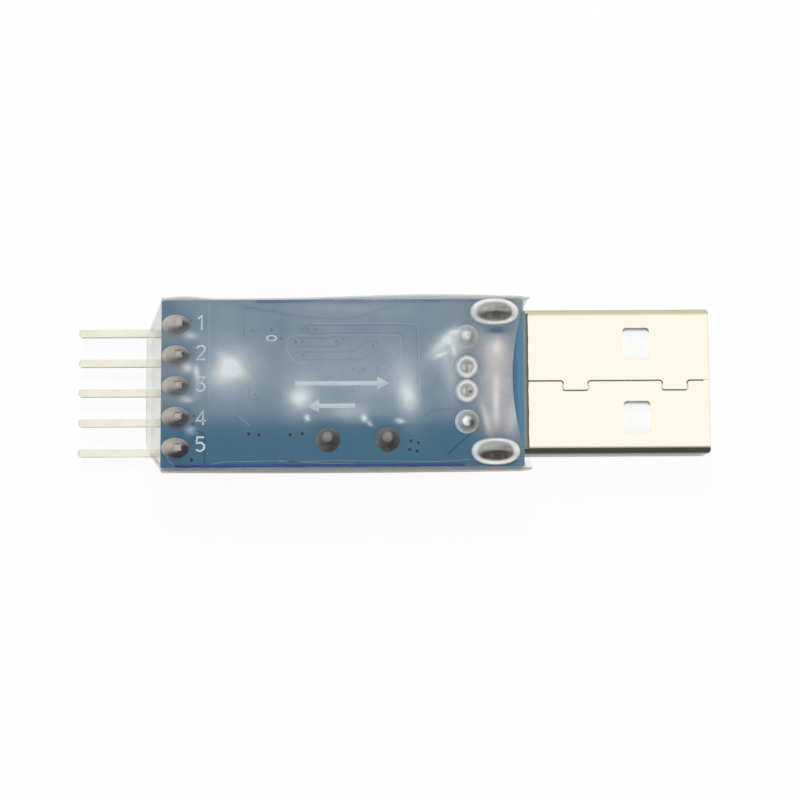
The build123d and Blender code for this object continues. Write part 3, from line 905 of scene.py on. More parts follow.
    def arrow(self, y: float, tail: float, tip: float) -> Patch:
        """A plain block arrow: a level shaft that steps out to a head and ends in a point.

        Args:
            y: its place across the board.
            tail: where it starts along the board.
            tip: where it points to.

        Returns:
            The arrow's strip.
        """
        length, width = self.arrow_head
        neck = tip - math.copysign(length, tip - tail)
        step = math.copysign(0.01, tip - tail)
        corners = ((tail, y), (neck - step, y), (neck, y), (tip, y))
        widths = (self.arrow_shaft, self.arrow_shaft, width, self.arrow_tip)
        return strip(corners, widths, self.ink_rise)

    def build(self) -> None:
        """Lays the gaps, the holes and their rings, the pale rims and the ink on the board."""
        rise = self.mask_rise
        hole, collar = (self.via_hole, self.via_hole), (self.via_radius, self.via_radius)
        point = (self.via_point, self.via_point)
        gaps = [line(corners, self.gap_width, rise / 2) for corners in self.gaps]
        holes = [self.ring(via, hole, point, 1.2 * rise) for via in self.vias]
        rings = [self.ring(via, collar, hole, 1.5 * rise) for via in self.vias]
        rims = [line(eased(corners, 2), self.rim_width, rise) for corners in self.rims]
        make_piece("track_gaps", gaps, GAP.material())
        make_piece("via_holes", holes, HOLE.material())
        make_piece("via_rings", rings, TRACK.material())
        make_piece("copper_rims", rims, RIM.material())
        ink = INK.material()
        for text, y in zip(DIGITS, self.label_ys):
            make_piece(f"pin_number_{text}", [self.digit(text, y)], ink)
        place, length, width = self.via_oval
        inner = (length - self.oval_line[0], width - self.oval_line[1])
        marks = [self.arrow(*row) for row in self.arrows]
        marks.append(self.ring(place, (length, width), inner, self.ink_rise))
        make_piece("ink_marks", marks, ink)


# Solder joints


@dataclass
class SolderJoint:
    """One joint on the solder side.

    Attributes:
        x: its middle along the board, at the neck.
        y: its middle across the board.
        length: its foot's length.
        width: its foot's width.
        height: how high the solder climbs.
        neck: the width of its crown.
        shift: how far its foot lies from the neck, along and across the board.
        dip: how deep its middle has sunk, nothing for a cone.
        rim: share of the half width where the hollow of a sunken joint starts.
        shade: tone of its lit side, and of its dark side or hollow, as painted shade.
        crown: tone of a cone's crown.
        square: two for an oval foot, more for a squarer one.
        streaks: how many dark lines of painted shade lie along the hollow.
        spots: painted shade and highlights: places off the neck, half lengths and widths, and how much
            darker each one is, lighter where negative.
        light_turn: where the light comes from, degrees back from the far side.
        rows, columns: how many rings it has and how many points each.
    """

    x: float
    y: float
    length: float
    width: float
    height: float
    neck: float = 0.0
    shift: Pair = (0.0, 0.0)
    dip: float = 0.0
    rim: float = 0.66
    shade: Pair = (0.1, 0.9)
    crown: float = 0.1
    square: float = 2.0
    streaks: int = 0
    spots: Sequence[tuple[float, float, float, float, float]] = ()
    light_turn: float = 52.0
    rows: int = 20
    columns: int = 48

    def profile(self) -> tuple[Array, Array]:
        """The joint's section, from its edge to its middle: a cone's height grows as the
        inward way to the power 1.6, a sunken joint's is three quarters of half a sine wave, to
        the power 0.6, with a bowl inside.

        Returns:
            The share of the foot's size and the height at each row.
        """
        inward = np.linspace(0, 1, self.rows)
        if self.dip:
            crest = 1 - self.rim
            climb = np.sin(np.clip(inward / crest, 0, 1) * 0.75 * math.pi) ** 0.6
            bowl = np.clip((inward - crest) / (1 - crest), 0, 1)
            edge = self.height * math.sin(0.75 * math.pi) ** 0.6
            sunk = edge - self.dip * np.sin(np.clip(bowl * 1.8, 0, 1) * math.pi / 2)
            return 1 - inward * 0.98, np.where(inward < crest, self.height * climb, sunk)
        crown = 0.82
        flank = np.clip(inward / crown, 0, 1)
        over = np.clip((inward - crown) / (1 - crown), 0, 1)
        share = (1 - flank * (1 - self.neck / self.width)) * (1 - 0.97 * over)
        return share, self.height * (flank**1.6 * 0.94 + 0.06 * np.sin(over * math.pi / 2))

    def tone(self, share: Array, height: Array, turn: Array) -> Array:
        """How dark the solder is, as painted shade: a cone's flank darkens with the cosine of the turn from
        south east, away from the light, and a sunken joint does so inside its rim.

        Args:
            share: the share of the foot's size at each row.
            height: the height at each row.
            turn: the angle of each column.

        Returns:
            Rows x columns tones.
        """
        lit, dark = self.shade
        away = 0.5 + 0.5 * np.cos(turn + math.radians(self.light_turn))[None, :]
        if not self.dip:
            flank = np.clip((0.985 - height / self.height) / 0.12, 0, 1)[:, None]
            return self.crown * (1 - flank) + (lit + (dark - lit) * away**1.3) * flank
        inside = np.clip((self.rim + 0.04 - share) / 0.1, 0, 1)[:, None]
        across = share[:, None] * np.sin(turn)
        lines = 0.5 + 0.5 * np.cos(across * math.pi * self.streaks) if self.streaks else 1.0
        hollow = lit + (dark - lit) * (0.6 + 0.4 * away) * (0.75 + 0.25 * lines)
        return lit * 0.3 * (1 - inside) + hollow * inside

    def patch(self) -> Patch:
        """Turns the section round: each row is an oval, or a squarer outline on which the powers
        of its shares add up to one, and a cone's slides from foot to neck.

        Returns:
            The joint's surface.
        """
        share, height = self.profile()
        turn = np.linspace(0, math.tau, self.columns, endpoint=False)
        c, s = np.cos(turn), np.sin(turn)
        size = (np.abs(c) ** self.square + np.abs(s) ** self.square) ** (-1 / self.square)
        low = (1 - height / self.height)[:, None]
        half_length = share[:, None] * (self.length * low + self.width * (1 - low)) / 2
        if self.dip:
            low = np.zeros_like(low)
            half_length = share[:, None] * self.length / 2
        x = self.x + self.shift[0] * low + half_length * size * c
        y = self.y + self.shift[1] * low + share[:, None] * self.width / 2 * size * s
        tone = self.tone(share, height, turn)
        # Painted shade and highlights: each spot darkens the tone round it, or lightens it where its change
        # is negative
        for along, aside, length, width, change in self.spots:
            far = ((x - self.x - along) / length) ** 2 + ((y - self.y - aside) / width) ** 2
            tone = tone + change * np.exp(-far)
        points = np.stack([x, y, BOARD_TOP + height[:, None] + 0 * turn], axis=-1)
        return Patch(points, capped=True, tone=np.clip(tone, 0, 1))


@dataclass
class SolderWork:
    """All joints on the solder side: the header's, the plug's and the crystal's.

    Attributes:
        header: length, width, height and neck of a header joint.
        header_shift: how far its foot lies from its neck.
        signal: diameter of a plug contact's joint.
        cone: height and neck of its outer ones.
        ring: height and dip of its inner ones.
        crystal: diameter, height and neck of a crystal joint.
        crystal_shift: how far its foot lies from its neck.
        leg: length, width, height and dip of a shell leg's joint.
        leg_shifts: how far the south and the north one lie off the frame's plain ones.
        leg_back: how far both lie back from them along the board.
        bead_width: how far the rosin reaches from the board over the shell.
        bead_height: how high it stands against the board.
        bead_inset: how far it stops short of the shell's sides.
    """

    header: Quad = (2.3, 1.68, 1.0, 0.92)
    header_shift: Pair = (-0.32, -0.02)
    signal: float = 2.0
    cone: Pair = (0.75, 0.8)
    ring: Pair = (0.42, 0.14)
    crystal: Triple = (2.0, 0.85, 0.85)
    crystal_shift: Pair = (0.0, -0.2)
    leg: Quad = (4.12, 2.3, 0.36, 0.13)
    leg_shifts: Pair = (-0.08, 0.08)
    leg_back: float = 0.05
    bead_width: float = 0.53
    bead_height: float = 0.3
    bead_inset: float = 0.35

    def signal_joints(self) -> list[SolderJoint]:
        """The plug's four contacts: cones outside, and sunken rings between them.

        Returns:
            The joints from south to north.
        """
        size = self.signal
        height, neck = self.cone
        crest, dip = self.ring
        cones = [
            SolderJoint(
                TAIL_X, TAIL_YS[i], size, size, height, neck, shade=shade, crown=0.35,
                # Painted highlight to the west of the crown, painted shade to its south east
                spots=((-0.42, 0.12, 0.34, 0.36, -0.7), (0.32, -0.1, 0.2, 0.24, dark)),
            )
            for i, shade, dark in ((0, (0.3, 0.55), 0.8), (3, (0.4, 0.7), 0.3))
        ]
        rings = [
            SolderJoint(
                # Painted shade: grey hollows inside near white rims, with a dark spot on each
                TAIL_X, TAIL_YS[i], size, size, crest, dip=dip, rim=0.56, shade=(0.12, 0.3), spots=(spot,)
            )
            for i, spot in ((1, (0.28, -0.06, 0.15, 0.15, 0.8)), (2, (0.1, 0.26, 0.34, 0.12, 0.35)))
        ]
        return [cones[0], *rings, cones[1]]

    def joints(self) -> dict[str, list[SolderJoint]]:
        """Places every joint on the frame's pins, tails, leads and legs.

        Returns:
            The joints of each frame node that they stand for.
        """
        size, height, neck = self.crystal
        header = [
            SolderJoint(
                # Painted shade: lit to the north west, dark to the south east of the pin's tip and along the
                # south edge
                HEADER_X, y, *self.header, self.header_shift, shade=(0.06, 0.9), crown=0.35,
                spots=((0.46, -0.24, 0.36, 0.32, 1.3), (-0.5, -0.6, 0.9, 0.2, 0.3)),
            )
            for y in HEADER_YS
        ]
        crystal = [
            SolderJoint(
                # Mostly the rosin's dark tone, darker still as painted shade on the side turned from the
                # light
                x, CRYSTAL_Y, size, size, height, neck, self.crystal_shift, shade=(0.7, 1.0), crown=0.58
            )
            for x in CRYSTAL_XS
        ]
        length, width, height, dip = self.leg
        rows = (LEG_JOINTS.low[1] + width / 2, LEG_JOINTS.high[1] - width / 2)
        legs = [
            SolderJoint(
                LEG_JOINTS.middle[0] - self.leg_back, y + shift, length, width, height, dip=dip, rim=0.72,
                # Painted shade: the hollow darkens inside the rim, streaked, darkest to the south, with a
                # darker patch to the north east
                shade=(0.42, 0.66), square=2.3, streaks=4,
                spots=((0.1, -0.3, 1.3, 0.32, 1.0), (0.7, 0.35, 0.6, 0.1, 0.2)),
            )
            for y, shift in zip(rows, self.leg_shifts)
        ]
        return {
            "header_joints": header,
            "usb_joints": self.signal_joints(),
            "crystal_joints": crystal,
            "shell_joints": legs,
        }

    def edge_shadow_bead(self) -> Patch:
        """The bead between the board's edge and the shell: a hollow quarter round, its height
        falling as the square of what is left of its width, uneven along the edge, and painted
        with the shadow of the board's end, darkest at its foot.

        Returns:
            The bead.
        """
        share = np.linspace(0, 1, 8)[:, None]
        y = np.linspace(SHELL.low[1] + self.bead_inset, SHELL.high[1] - self.bead_inset, 80)[None, :]
        uneven = 1 + 0.02 * np.sin(2.1 * y) + 0.015 * np.sin(5.3 * y + 1)
        ends = np.clip((y - y.min()) * (y.max() - y) / 2, 0, 1) ** 0.5
        x = BOARD_END - 0.02 + share * self.bead_width * uneven
        z = BOARD_UNDER + 0.004 + self.bead_height * (1 - share) ** 2 * ends
        points = np.stack([x, y + 0 * share, z + 0 * y], axis=-1)
        # Painted contact shadow: darkest at the bead's foot on the shell
        return Patch(points, round=False, tone=np.clip(2.2 * share - 1, 0, 1) + 0 * y)

    def build(self) -> None:
        """Makes one piece for each group of joints, hides the plain one, and lays the bead."""
        solder, fluxed = SOLDER.material(), FLUXED.material()
        bright = ("usb_joints", "shell_joints")
        for node, joints in self.joints().items():
            patches = [joint.patch() for joint in joints]
            finish = solder if node in bright else fluxed
            piece = make_piece(node.replace("_joints", "_solder"), patches, finish, shell=True)
            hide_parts(node)
        dress("small_part_joints", FILLET.material())
        make_piece("edge_shadow_bead", [self.edge_shadow_bead()], BEAD_SHADOW.material())


# The clear sleeve


@dataclass(frozen=True)
class Support:
    """A straight edge along X that holds the film out.

    Attributes:
        start: where it begins along the module.
        end: where it ends.
        y: its place across.
        z: its level.
        gap: how far the film's outer face stands off it.
    """

    start: float
    end: float
    y: float
    z: float
    gap: float = 0.16


@dataclass(frozen=True)
class Bulge:
    """A soft rise in the film, round or drawn out into a crease.

    Attributes:
        x: its middle along the module.
        y: its middle across.
        length: its reach along its own way.
        width: its reach across it.
        height: how far it rises, or sinks if negative.
        turn: its way, in degrees from X.
    """

    x: float
    y: float
    length: float
    width: float
    height: float
    turn: float = 0.0

    def rise(self, x: Array, y: Array) -> Array:
        """The rise at each place: a bell in both directions.

        Args:
            x: the places along the module.
            y: the places across it.

        Returns:
            The rises.
        """
        c, s = math.cos(math.radians(self.turn)), math.sin(math.radians(self.turn))
        along = ((x - self.x) * c + (y - self.y) * s) / self.length
        across = ((y - self.y) * c - (x - self.x) * s) / self.width
        return self.height * np.exp(-(along**2) - across**2)


# Where the film has lifted off the board
LIFTS = tuple(Bulge(*row) for row in (
    (-12.4, 1.0, 1.7, 1.5, 0.22, -40.0), (1.75, -1.3, 1.1, 1.8, 0.2), (-7.4, -1.5, 1.0, 1.0, 0.14),
    (8.9, 0.2, 0.5, 3.4, 0.22, 3.0), (8.65, 2.9, 0.9, 0.9, 0.25), (5.5, 3.3, 1.0, 0.25, 0.2, 62.0),
    (4.9, 2.6, 1.1, 0.22, 0.18, 98.0), (4.6, 3.9, 0.7, 0.2, 0.14, 30.0), (-15.7, 1.2, 0.3, 0.9, 0.1),
    (-3.5, 5.9, 3.6, 0.3, 0.12, -4.0), (7.6, -3.0, 0.3, 1.6, 0.14, 8.0),
))
# Where it is milkier, or clearer if negative: broad haze first, then the glares, glints and creases, whose
# bright spots are painted highlights laid on as milk
HAZE_AND_GLARES = tuple(Bulge(*row) for row in (
    (-18.4, 6.2, 1.4, 0.9, -0.12), (-3.5, 2.0, 7.5, 2.6, 0.14), (-4.5, -0.6, 6.5, 2.0, 0.1),
    (-12.8, 2.2, 3.2, 3.6, 0.14), (-16.6, 0.6, 1.5, 3.6, 0.12), (-3.0, 6.2, 9.0, 1.2, 0.12),
    (-13.0, 1.0, 1.6, 1.9, 0.3), (-13.3, 1.1, 1.0, 0.95, 0.36), (-12.9, 1.5, 1.5, 0.5, 0.24, -42.0),
    (-14.3, 0.2, 0.9, 0.9, 0.16), (1.3, -0.5, 1.2, 2.7, 0.34, 8.0), (1.5, -1.4, 0.7, 1.15, 0.36, 10.0),
    (-7.3, -1.1, 1.3, 1.6, 0.34), (-7.5, -1.35, 0.75, 0.65, 0.4), (-3.4, -2.4, 1.7, 0.7, 0.3),
    (-1.8, -0.6, 1.6, 1.2, 0.08), (-6.8, -2.9, 0.22, 0.24, 0.85), (-2.15, -2.95, 0.24, 0.28, 0.85),
    (-1.7, -3.4, 0.18, 0.18, 0.7), (0.75, -3.2, 0.35, 0.16, 0.8), (4.7, 2.3, 1.3, 1.6, 0.36, 20.0),
    (5.2, 3.5, 0.8, 0.5, 0.3, 40.0), (4.1, 2.25, 0.5, 0.16, 0.5, 22.0), (5.3, 4.1, 0.35, 0.12, 0.5, 8.0),
    (4.6, 3.4, 0.3, 0.15, 0.45, -30.0), (5.2, 2.5, 0.16, 0.4, 0.4, 12.0), (5.0, 0.2, 0.7, 2.2, 0.22),
    (8.6, 0.2, 1.6, 3.9, 0.46), (6.0, -0.2, 1.2, 1.6, 0.16), (8.6, -1.6, 0.26, 2.0, 0.4),
    (7.8, -3.2, 0.25, 1.4, 0.45, 14.0), (8.7, 2.4, 0.9, 0.8, 0.3), (10.0, -3.2, 0.6, 1.9, 0.45, -10.0),
    (8.4, -3.4, 1.1, 1.0, 0.25), (8.7, 4.25, 0.9, 0.3, -0.4), (8.75, 2.95, 0.6, 0.6, 0.22),
    (3.9, 3.0, 1.3, 0.45, 0.3, 52.0), (4.9, 3.9, 0.9, 0.3, 0.36, 48.0), (5.5, 2.7, 0.5, 0.5, 0.2),
    (-16.3, 3.85, 0.5, 0.25, 0.6), (-16.5, 1.2, 0.4, 0.35, 0.7), (-15.8, 0.9, 0.2, 0.5, 0.5),
    (-16.6, -1.4, 0.5, 0.22, 0.6), (-16.2, -3.9, 0.35, 0.3, 0.6), (-15.7, 0.0, 0.25, 0.9, 0.35),
))


@dataclass
class ShrinkFilm:
    """The clear sleeve: one taut tube of film over everything between the pins and the plug.

    Attributes:
        wall: the film's thickness.
        left_x: where its mouth lies.
        right_x: where its end round the plug lies.
        scallop_x: where its edge lies in the middle of the solder side.
        scallop_bend: how fast that edge runs back to the corners, per square of the way.
        corner_flare: how far the film's corners stand out past that edge.
        corner_y: how far across those corners lie.
        slope: how fast the film falls away from a support, height per length.
        mouth_half: half the mouth's width.
        mouth_taper: share by which the mouth narrows to its top.
        mouth_levels: the mouth's lowest and highest level.
        mouth_steps: how many rings lead to it.
        columns, rows: how many cells the film has round and along the module.
        stations, directions: how finely its supports are measured.
        axis_drop: how far under the board the line lies that it is measured from.
        tight_gap: how far it stands off pins, leads and the contacts' solder.
        leg_gap: how far it stands off the solder of the shell's legs.
        body_inset: how far inside the can and the chip their holding edges lie.
        tail_half: half the length over which a contact's joint holds it out.
        leg_inset: how far inside the legs' joints their holding edges lie.
        smoothing: rounds of smoothing of the reach, then round and along the module.
        mouth_bend: power of the way along the neck by which it draws in to the mouth.
        veil: share of milk everywhere.
        haze: share of milk on the upper part of the board, where that ends, and how softly.
        side_veil: share of milk on its south and its north wall.
        mouth_veil: share of milk at the mouth.
        tail_touch, pin_touch, crystal_touch, leg_touch: half length, half width and share
            cleared of the places where it lies tight on each kind of joint.
        pin_touch_back: how far those of the pins lie back from them.
        leg_ys: where it lies tight over the shell's legs.
        bulges: where the film has lifted off the board.
        blooms: where it is milkier or clearer, with painted glares and glints laid on as milk.
        side_folds, south_fold: where its north and its south wall stand out.
        dark_edges, deep_edges, pale_edges: lines where it meets or leaves the board, painted on it: painted
            shade on the dark and deep ones, painted reflection on the pale ones.
        edge_widths: how wide those three kinds of line are.
        edge_rise: how high they stand.
    """

    wall: float = 0.13
    left_x: float = -20.3
    right_x: float = 11.25
    scallop_x: float = 10.0
    scallop_bend: float = 0.028
    corner_flare: float = 0.28
    corner_y: float = 7.2
    slope: float = 0.3
    mouth_half: float = 5.6
    mouth_taper: float = 0.16
    mouth_levels: Pair = (0.66, 4.2)
    mouth_steps: int = 14
    columns: int = 240
    rows: int = 170
    stations: int = 420
    directions: int = 360
    axis_drop: float = 1.2
    tight_gap: float = 0.12
    leg_gap: float = 0.1
    body_inset: float = 0.6
    tail_half: float = 0.4
    leg_inset: float = 0.3
    smoothing: tuple[int, int, int] = (16, 4, 10)
    mouth_bend: float = 1.15
    veil: float = 0.015
    haze: Triple = (0.175, -3.1, 0.3)
    side_veil: Pair = (0.76, 0.66)
    mouth_veil: float = 0.12
    tail_touch: Triple = (1.05, 1.05, 0.9)
    pin_touch: Triple = (1.45, 0.95, 0.92)
    crystal_touch: Triple = (0.9, 0.9, 0.8)
    leg_touch: Triple = (2.1, 1.15, 0.9)
    pin_touch_back: float = 0.05
    leg_ys: Pair = (-5.65, 5.85)
    bulges: Sequence[Bulge] = LIFTS
    blooms: Sequence[Bulge] = HAZE_AND_GLARES
    side_folds: Sequence[Bulge] = (Bulge(3.2, 6.0, 8.0, 1.3, 0.3), Bulge(-17.0, 6.0, 1.8, 1.2, 0.22))
    south_fold: Bulge = Bulge(-4.5, 5.5, 17.0, 1.9, 0.17)
    # Painted shade: dark lines on the board where the film leaves it
    dark_edges: Sequence[Line] = (
        ((-12.0, 6.4), (-10.0, 6.05), (-8.2, 5.66), (-6.3, 5.45), (-4.4, 5.37), (-2.9, 5.42), (-1.3, 5.95),
         (0.3, 6.4)),
    )
    # Painted shade: deep lines along the board's long edges, where the film leaves it
    deep_edges: Sequence[Line] = (
        ((-17.6, -6.74), (-8.0, -6.7), (2.0, -6.74), (6.0, -6.7)),
        ((-11.0, 6.8), (-3.0, 6.76), (4.0, 6.8), (9.4, 6.78)),
    )
    # Painted reflection: pale lines on the board where the film meets it
    pale_edges: Sequence[Line] = (
        ((-14.6, -6.6), (-13.5, -6.35), (-12.0, -6.42), (-9.0, -6.3), (-6.0, -6.55), (-3.0, -6.62)),
        ((-9.2, -6.4), (-2.0, -6.35), (4.0, -6.5), (6.5, -6.3)),
        ((-18.3, -5.6), (-18.2, -6.3), (-17.6, -6.7), (-16.4, -6.85)),
    )
    edge_widths: Triple = (0.17, 0.22, 0.06)
    edge_rise: float = 0.03

    @property
    def axis_z(self) -> float:
        """The level of the line that the film is measured from."""
        return BOARD_UNDER - self.axis_drop

    def supports(self) -> list[Support]:
        """Lists the edges that hold the film out, each from its frame node.

        Returns:
            The supports.
        """
        tight = self.tight_gap
        (x0, y0, z0), (x1, y1, z1) = BOARD.low, BOARD.high
        held = [Support(x0, x1, y, z) for y in (y0, y1) for z in (z0, z1)]
        # each box: how far its lower edges lie inside it, and the film's gap
        for node, inset, gap in (
            ("usb_shell", 0.0, SHELL.low[2]),
            ("header_block", 0.0, Support.gap),
            ("crystal_can", self.body_inset, Support.gap),
            ("bridge_chip_body", self.body_inset, Support.gap),
        ):
            box = Extent.of(node)
            end = self.right_x + 1 if node == "usb_shell" else box.high[0]
            ys = (box.low[1] + inset, box.high[1] - inset)
            held += [Support(box.low[0], end, y, box.low[2], gap) for y in ys]
        for pin in (HEADER_PINS[0], HEADER_PINS[-1]):
            ends = (HEADER_X - PIN_WIDTH / 2, HEADER_X + PIN_WIDTH / 2)
            held += [Support(self.left_x, HEADER_X, y, pin.low[2]) for y in (pin.low[1], pin.high[1])]
            held.append(Support(*ends, pin.middle[1], pin.high[2], tight))
        for x in CRYSTAL_XS:
            ends = (x - LEAD_RADIUS, x + LEAD_RADIUS)
            held.append(Support(*ends, CRYSTAL_Y, CRYSTAL_LEADS.high[2], tight))
        top = Extent.of("usb_joints").high[2]
        ends = (TAIL_X - self.tail_half, TAIL_X + self.tail_half)
        held += [Support(*ends, TAIL_YS[i], top, tight) for i in (0, 3)]
        start, end, top = LEG_JOINTS.low[0], LEG_JOINTS.high[0], LEG_JOINTS.high[2]
        for y in (LEG_JOINTS.low[1] + self.leg_inset, LEG_JOINTS.high[1] - self.leg_inset):
            held.append(Support(start, end, y, top, self.leg_gap))
        return held

    def reach(self, x: Array, angles: Array) -> Array:
        """How far the film stands out in each direction at each station: the greatest reach of
        any support there, less the slope times how far that support is away along X.

        Args:
            x: the stations along the module.
            angles: directions round the module, from +Y to +Z.

        Returns:
            Stations x directions reaches from the axis of the frame.
        """
        best = np.full((len(x), len(angles)), -np.inf)
        for s in self.supports():
            away = np.maximum(0, np.maximum(s.start - x, x - s.end))
            out = s.y * np.cos(angles) + (s.z - self.axis_z) * np.sin(angles) + s.gap
            best = np.maximum(best, out[None, :] - self.slope * away[:, None])
        return best

    def section(self, reach: Array, angles: Array, rays: Array) -> Array:
        """How far the taut film is along each ray: the least, over all directions, of the
        reach divided by the cosine between ray and direction.

        Args:
            reach: stations x directions reaches.
            angles: the directions.
            rays: the rays.

        Returns:
            Stations x rays distances.
        """
        cosine = np.cos(angles[:, None] - rays[None, :])
        slack = np.where(cosine > 0.02, cosine, np.nan)
        return np.nanmin(reach[:, :, None] / slack[None, :, :], axis=1)

    def smooth(self, values: Array, rounds: int, axis: int) -> Array:
        """Averages each value with its two neighbours, which count a quarter each.

        Args:
            values: stations x columns values.
            rounds: how often it is done.
            axis: nothing for along the module, one for round it.

        Returns:
            The smoothed values.
        """
        for _ in range(rounds):
            if axis == 0:
                padded = np.concatenate([values[:1], values, values[-1:]])
                values = 0.25 * padded[:-2] + 0.5 * values + 0.25 * padded[2:]
            else:
                values = 0.25 * np.roll(values, 1, 1) + 0.5 * values + 0.25 * np.roll(values, -1, 1)
        return values

    def ring_rays(self) -> Array:
        """Rays to points evenly spaced round a box as wide and high as the module.

        Returns:
            The rays' angles from +Y to +Z.
        """
        half = BOARD.size[1] / 2
        low, high = -self.axis_z, BOARD_TOP - self.axis_z
        corners = np.array([(half, low), (half, high), (-half, high), (-half, low), (half, low)])
        lengths = np.linalg.norm(np.diff(corners, axis=0), axis=1)
        reached = np.concatenate([[0], np.cumsum(lengths)])
        walk = np.linspace(0, reached[-1], self.columns, endpoint=False)
        y, z = (np.interp(walk, reached, corners[:, i]) for i in (0, 1))
        return np.arctan2(z, y)

    def mouth(self, rays: Array) -> Array:
        """The mouth's outline: a box with rounded corners, in which a ray stops where the sixth
        powers of its shares of the half sides add up to one, drawn in by its taper to the top.

        Args:
            rays: the rays' angles.

        Returns:
            Rays x 2 places across and up.
        """
        low, high = self.mouth_levels
        half_z = (high - low) / 2
        c, s = np.cos(rays), np.sin(rays)
        size = (np.abs(c / self.mouth_half) ** 6 + np.abs(s / half_z) ** 6) ** (-1 / 6)
        drawn = 1 - self.mouth_taper * (1 + size * s / half_z) / 2
        y = float(np.mean(HEADER_YS)) + size * c * drawn
        return np.stack([y, (high + low) / 2 + size * s], axis=-1)

    def surface(self) -> Array:
        """The film's outer face: the taut section at every station from the board's end to the
        plug, raised by the bulges, then drawn in to the mouth.

        Returns:
            Rows x columns x 3 places.
        """
        rays = self.ring_rays()
        angles = np.linspace(-math.pi, math.pi, self.directions, endpoint=False)
        x = np.linspace(BOARD_START, self.right_x, self.stations)
        held, around, lengthwise = self.smoothing
        distance = self.section(self.smooth(self.reach(x, angles), held, 0), angles, rays)
        distance = self.smooth(self.smooth(distance, around, 1), lengthwise, 0)
        # where each column ends along the module
        y_side = distance[-1] * np.cos(rays)
        z_side = distance[-1] * np.sin(rays) + self.axis_z
        on_top = np.clip((z_side - BOARD_TOP + 0.5) / 0.6, 0, 1)
        scallop = self.scallop_x + self.scallop_bend * (y_side - SHELL.middle[1]) ** 2
        last = self.right_x + on_top * (np.minimum(scallop, self.right_x) - self.right_x)
        off_corner = ((np.abs(y_side) - self.corner_y) / 0.7) ** 2
        last = last + self.corner_flare * np.exp(-off_corner - ((z_side - BOARD_TOP) / 0.9) ** 2)
        # the taut section between the board's end and there
        share = np.linspace(0, 1, self.rows)[:, None]
        along = BOARD_START + share * (last - BOARD_START)[None, :]
        station = (along - x[0]) / (x[-1] - x[0]) * (len(x) - 1)
        below = np.clip(station.astype(int), 0, len(x) - 2)
        part = station - below
        column = np.arange(self.columns)[None, :]
        radius = distance[below, column] * (1 - part) + distance[below + 1, column] * part
        y = radius * np.cos(rays)
        z = self.axis_z + radius * np.sin(rays)
        # the bulges on top and the folds of both walls
        top = np.clip((z - (BOARD_TOP + 0.05)) / 0.1, 0, 1)
        edge = np.clip((BOARD.size[1] / 2 - np.abs(y)) / 0.8, 0, 1)
        z = z + top * edge * sum(bulge.rise(along, y) for bulge in self.bulges)
        beside = np.clip((y - (BOARD.high[1] - 0.35)) / 0.5, 0, 1)
        y = y + beside * sum(fold.rise(along, z) for fold in self.side_folds)
        beside = np.clip((BOARD.low[1] + 0.35 - y) / 0.5, 0, 1)
        y = y - beside * self.south_fold.rise(along, z)
        body = np.stack([along, y, z], axis=-1)
        # the mouth: the board's end ring is drawn in to the mouth's outline
        steps = np.linspace(0, 1, self.mouth_steps)[:, None]
        mouth, drawn, first = self.mouth(rays), steps**self.mouth_bend, body[0]
        neck_x = BOARD_START - steps * (BOARD_START - self.left_x) + 0 * rays
        neck_y, neck_z = (first[:, i + 1] * (1 - drawn) + mouth[:, i] * drawn for i in (0, 1))
        neck = np.stack([neck_x, neck_y, neck_z], axis=-1)
        return np.concatenate([neck[:0:-1], body])

    def touches(self) -> list[Bulge]:
        """Lists where the film lies tight on solder, and how much clearer it is there.

        Returns:
            The clear places.
        """
        places = [(TAIL_X, y, *self.tail_touch) for y in TAIL_YS[:3]]
        places += [(HEADER_X - self.pin_touch_back, y, *self.pin_touch) for y in HEADER_YS]
        places += [(x, CRYSTAL_Y, *self.crystal_touch) for x in CRYSTAL_XS]
        places += [(LEG_JOINTS.middle[0], y, *self.leg_touch) for y in self.leg_ys]
        return [Bulge(*place) for place in places]

    def milk(self, points: Array) -> Array:
        """How milky the film looks: a thin veil, an even haze over the upper board that fades as
        one over one plus a power of e, more where the film has lifted and where painted glares and
        glints lie, along its sides and at its mouth, and less where it touches solder. Both faces
        of the wall carry it, so each takes one less the root of what is left.

        Args:
            points: the film's outer face.

        Returns:
            The share of milk at each point, from 0 to 1.
        """
        x, y, z = points[..., 0], points[..., 1], points[..., 2]
        over = np.clip((z - BOARD_TOP + 0.1) / 0.3, 0, 1)
        most, edge, soft = self.haze
        hazy = most / (1 + np.exp(np.clip((edge - y) / soft, -40, 40)))
        # The blooms add haze and painted glares and glints
        veil = self.veil + over * (hazy + sum(bloom.rise(x, y) for bloom in self.blooms))
        for touch in self.touches():
            veil = veil * (1 - over * touch.rise(x, y))
        beside = np.clip((np.abs(y) - BOARD.high[1] + 0.05) / 0.2, 0, 1)
        veil = np.maximum(veil, np.where(y < 0, *self.side_veil) * beside)
        drawn = np.clip((BOARD_START - x) / 0.25, 0, 1)
        veil = np.maximum(veil, self.mouth_veil * drawn)
        return 1 - np.sqrt(1 - np.clip(veil, 0, 0.95))

    def build(self) -> None:
        """Makes the film, gives it its wall, and paints shade and reflection on the board where it meets the
        board.
        """
        points = self.surface()
        film = Patch(points, tone=self.milk(points))
        piece = make_piece("clear_film", [film], ClearFilm().material(), shell=True)
        wall = piece.modifiers.new("wall", "SOLIDIFY")
        wall.thickness = self.wall * MM
        wall.offset = -1.0
        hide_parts("shrink_sleeve")
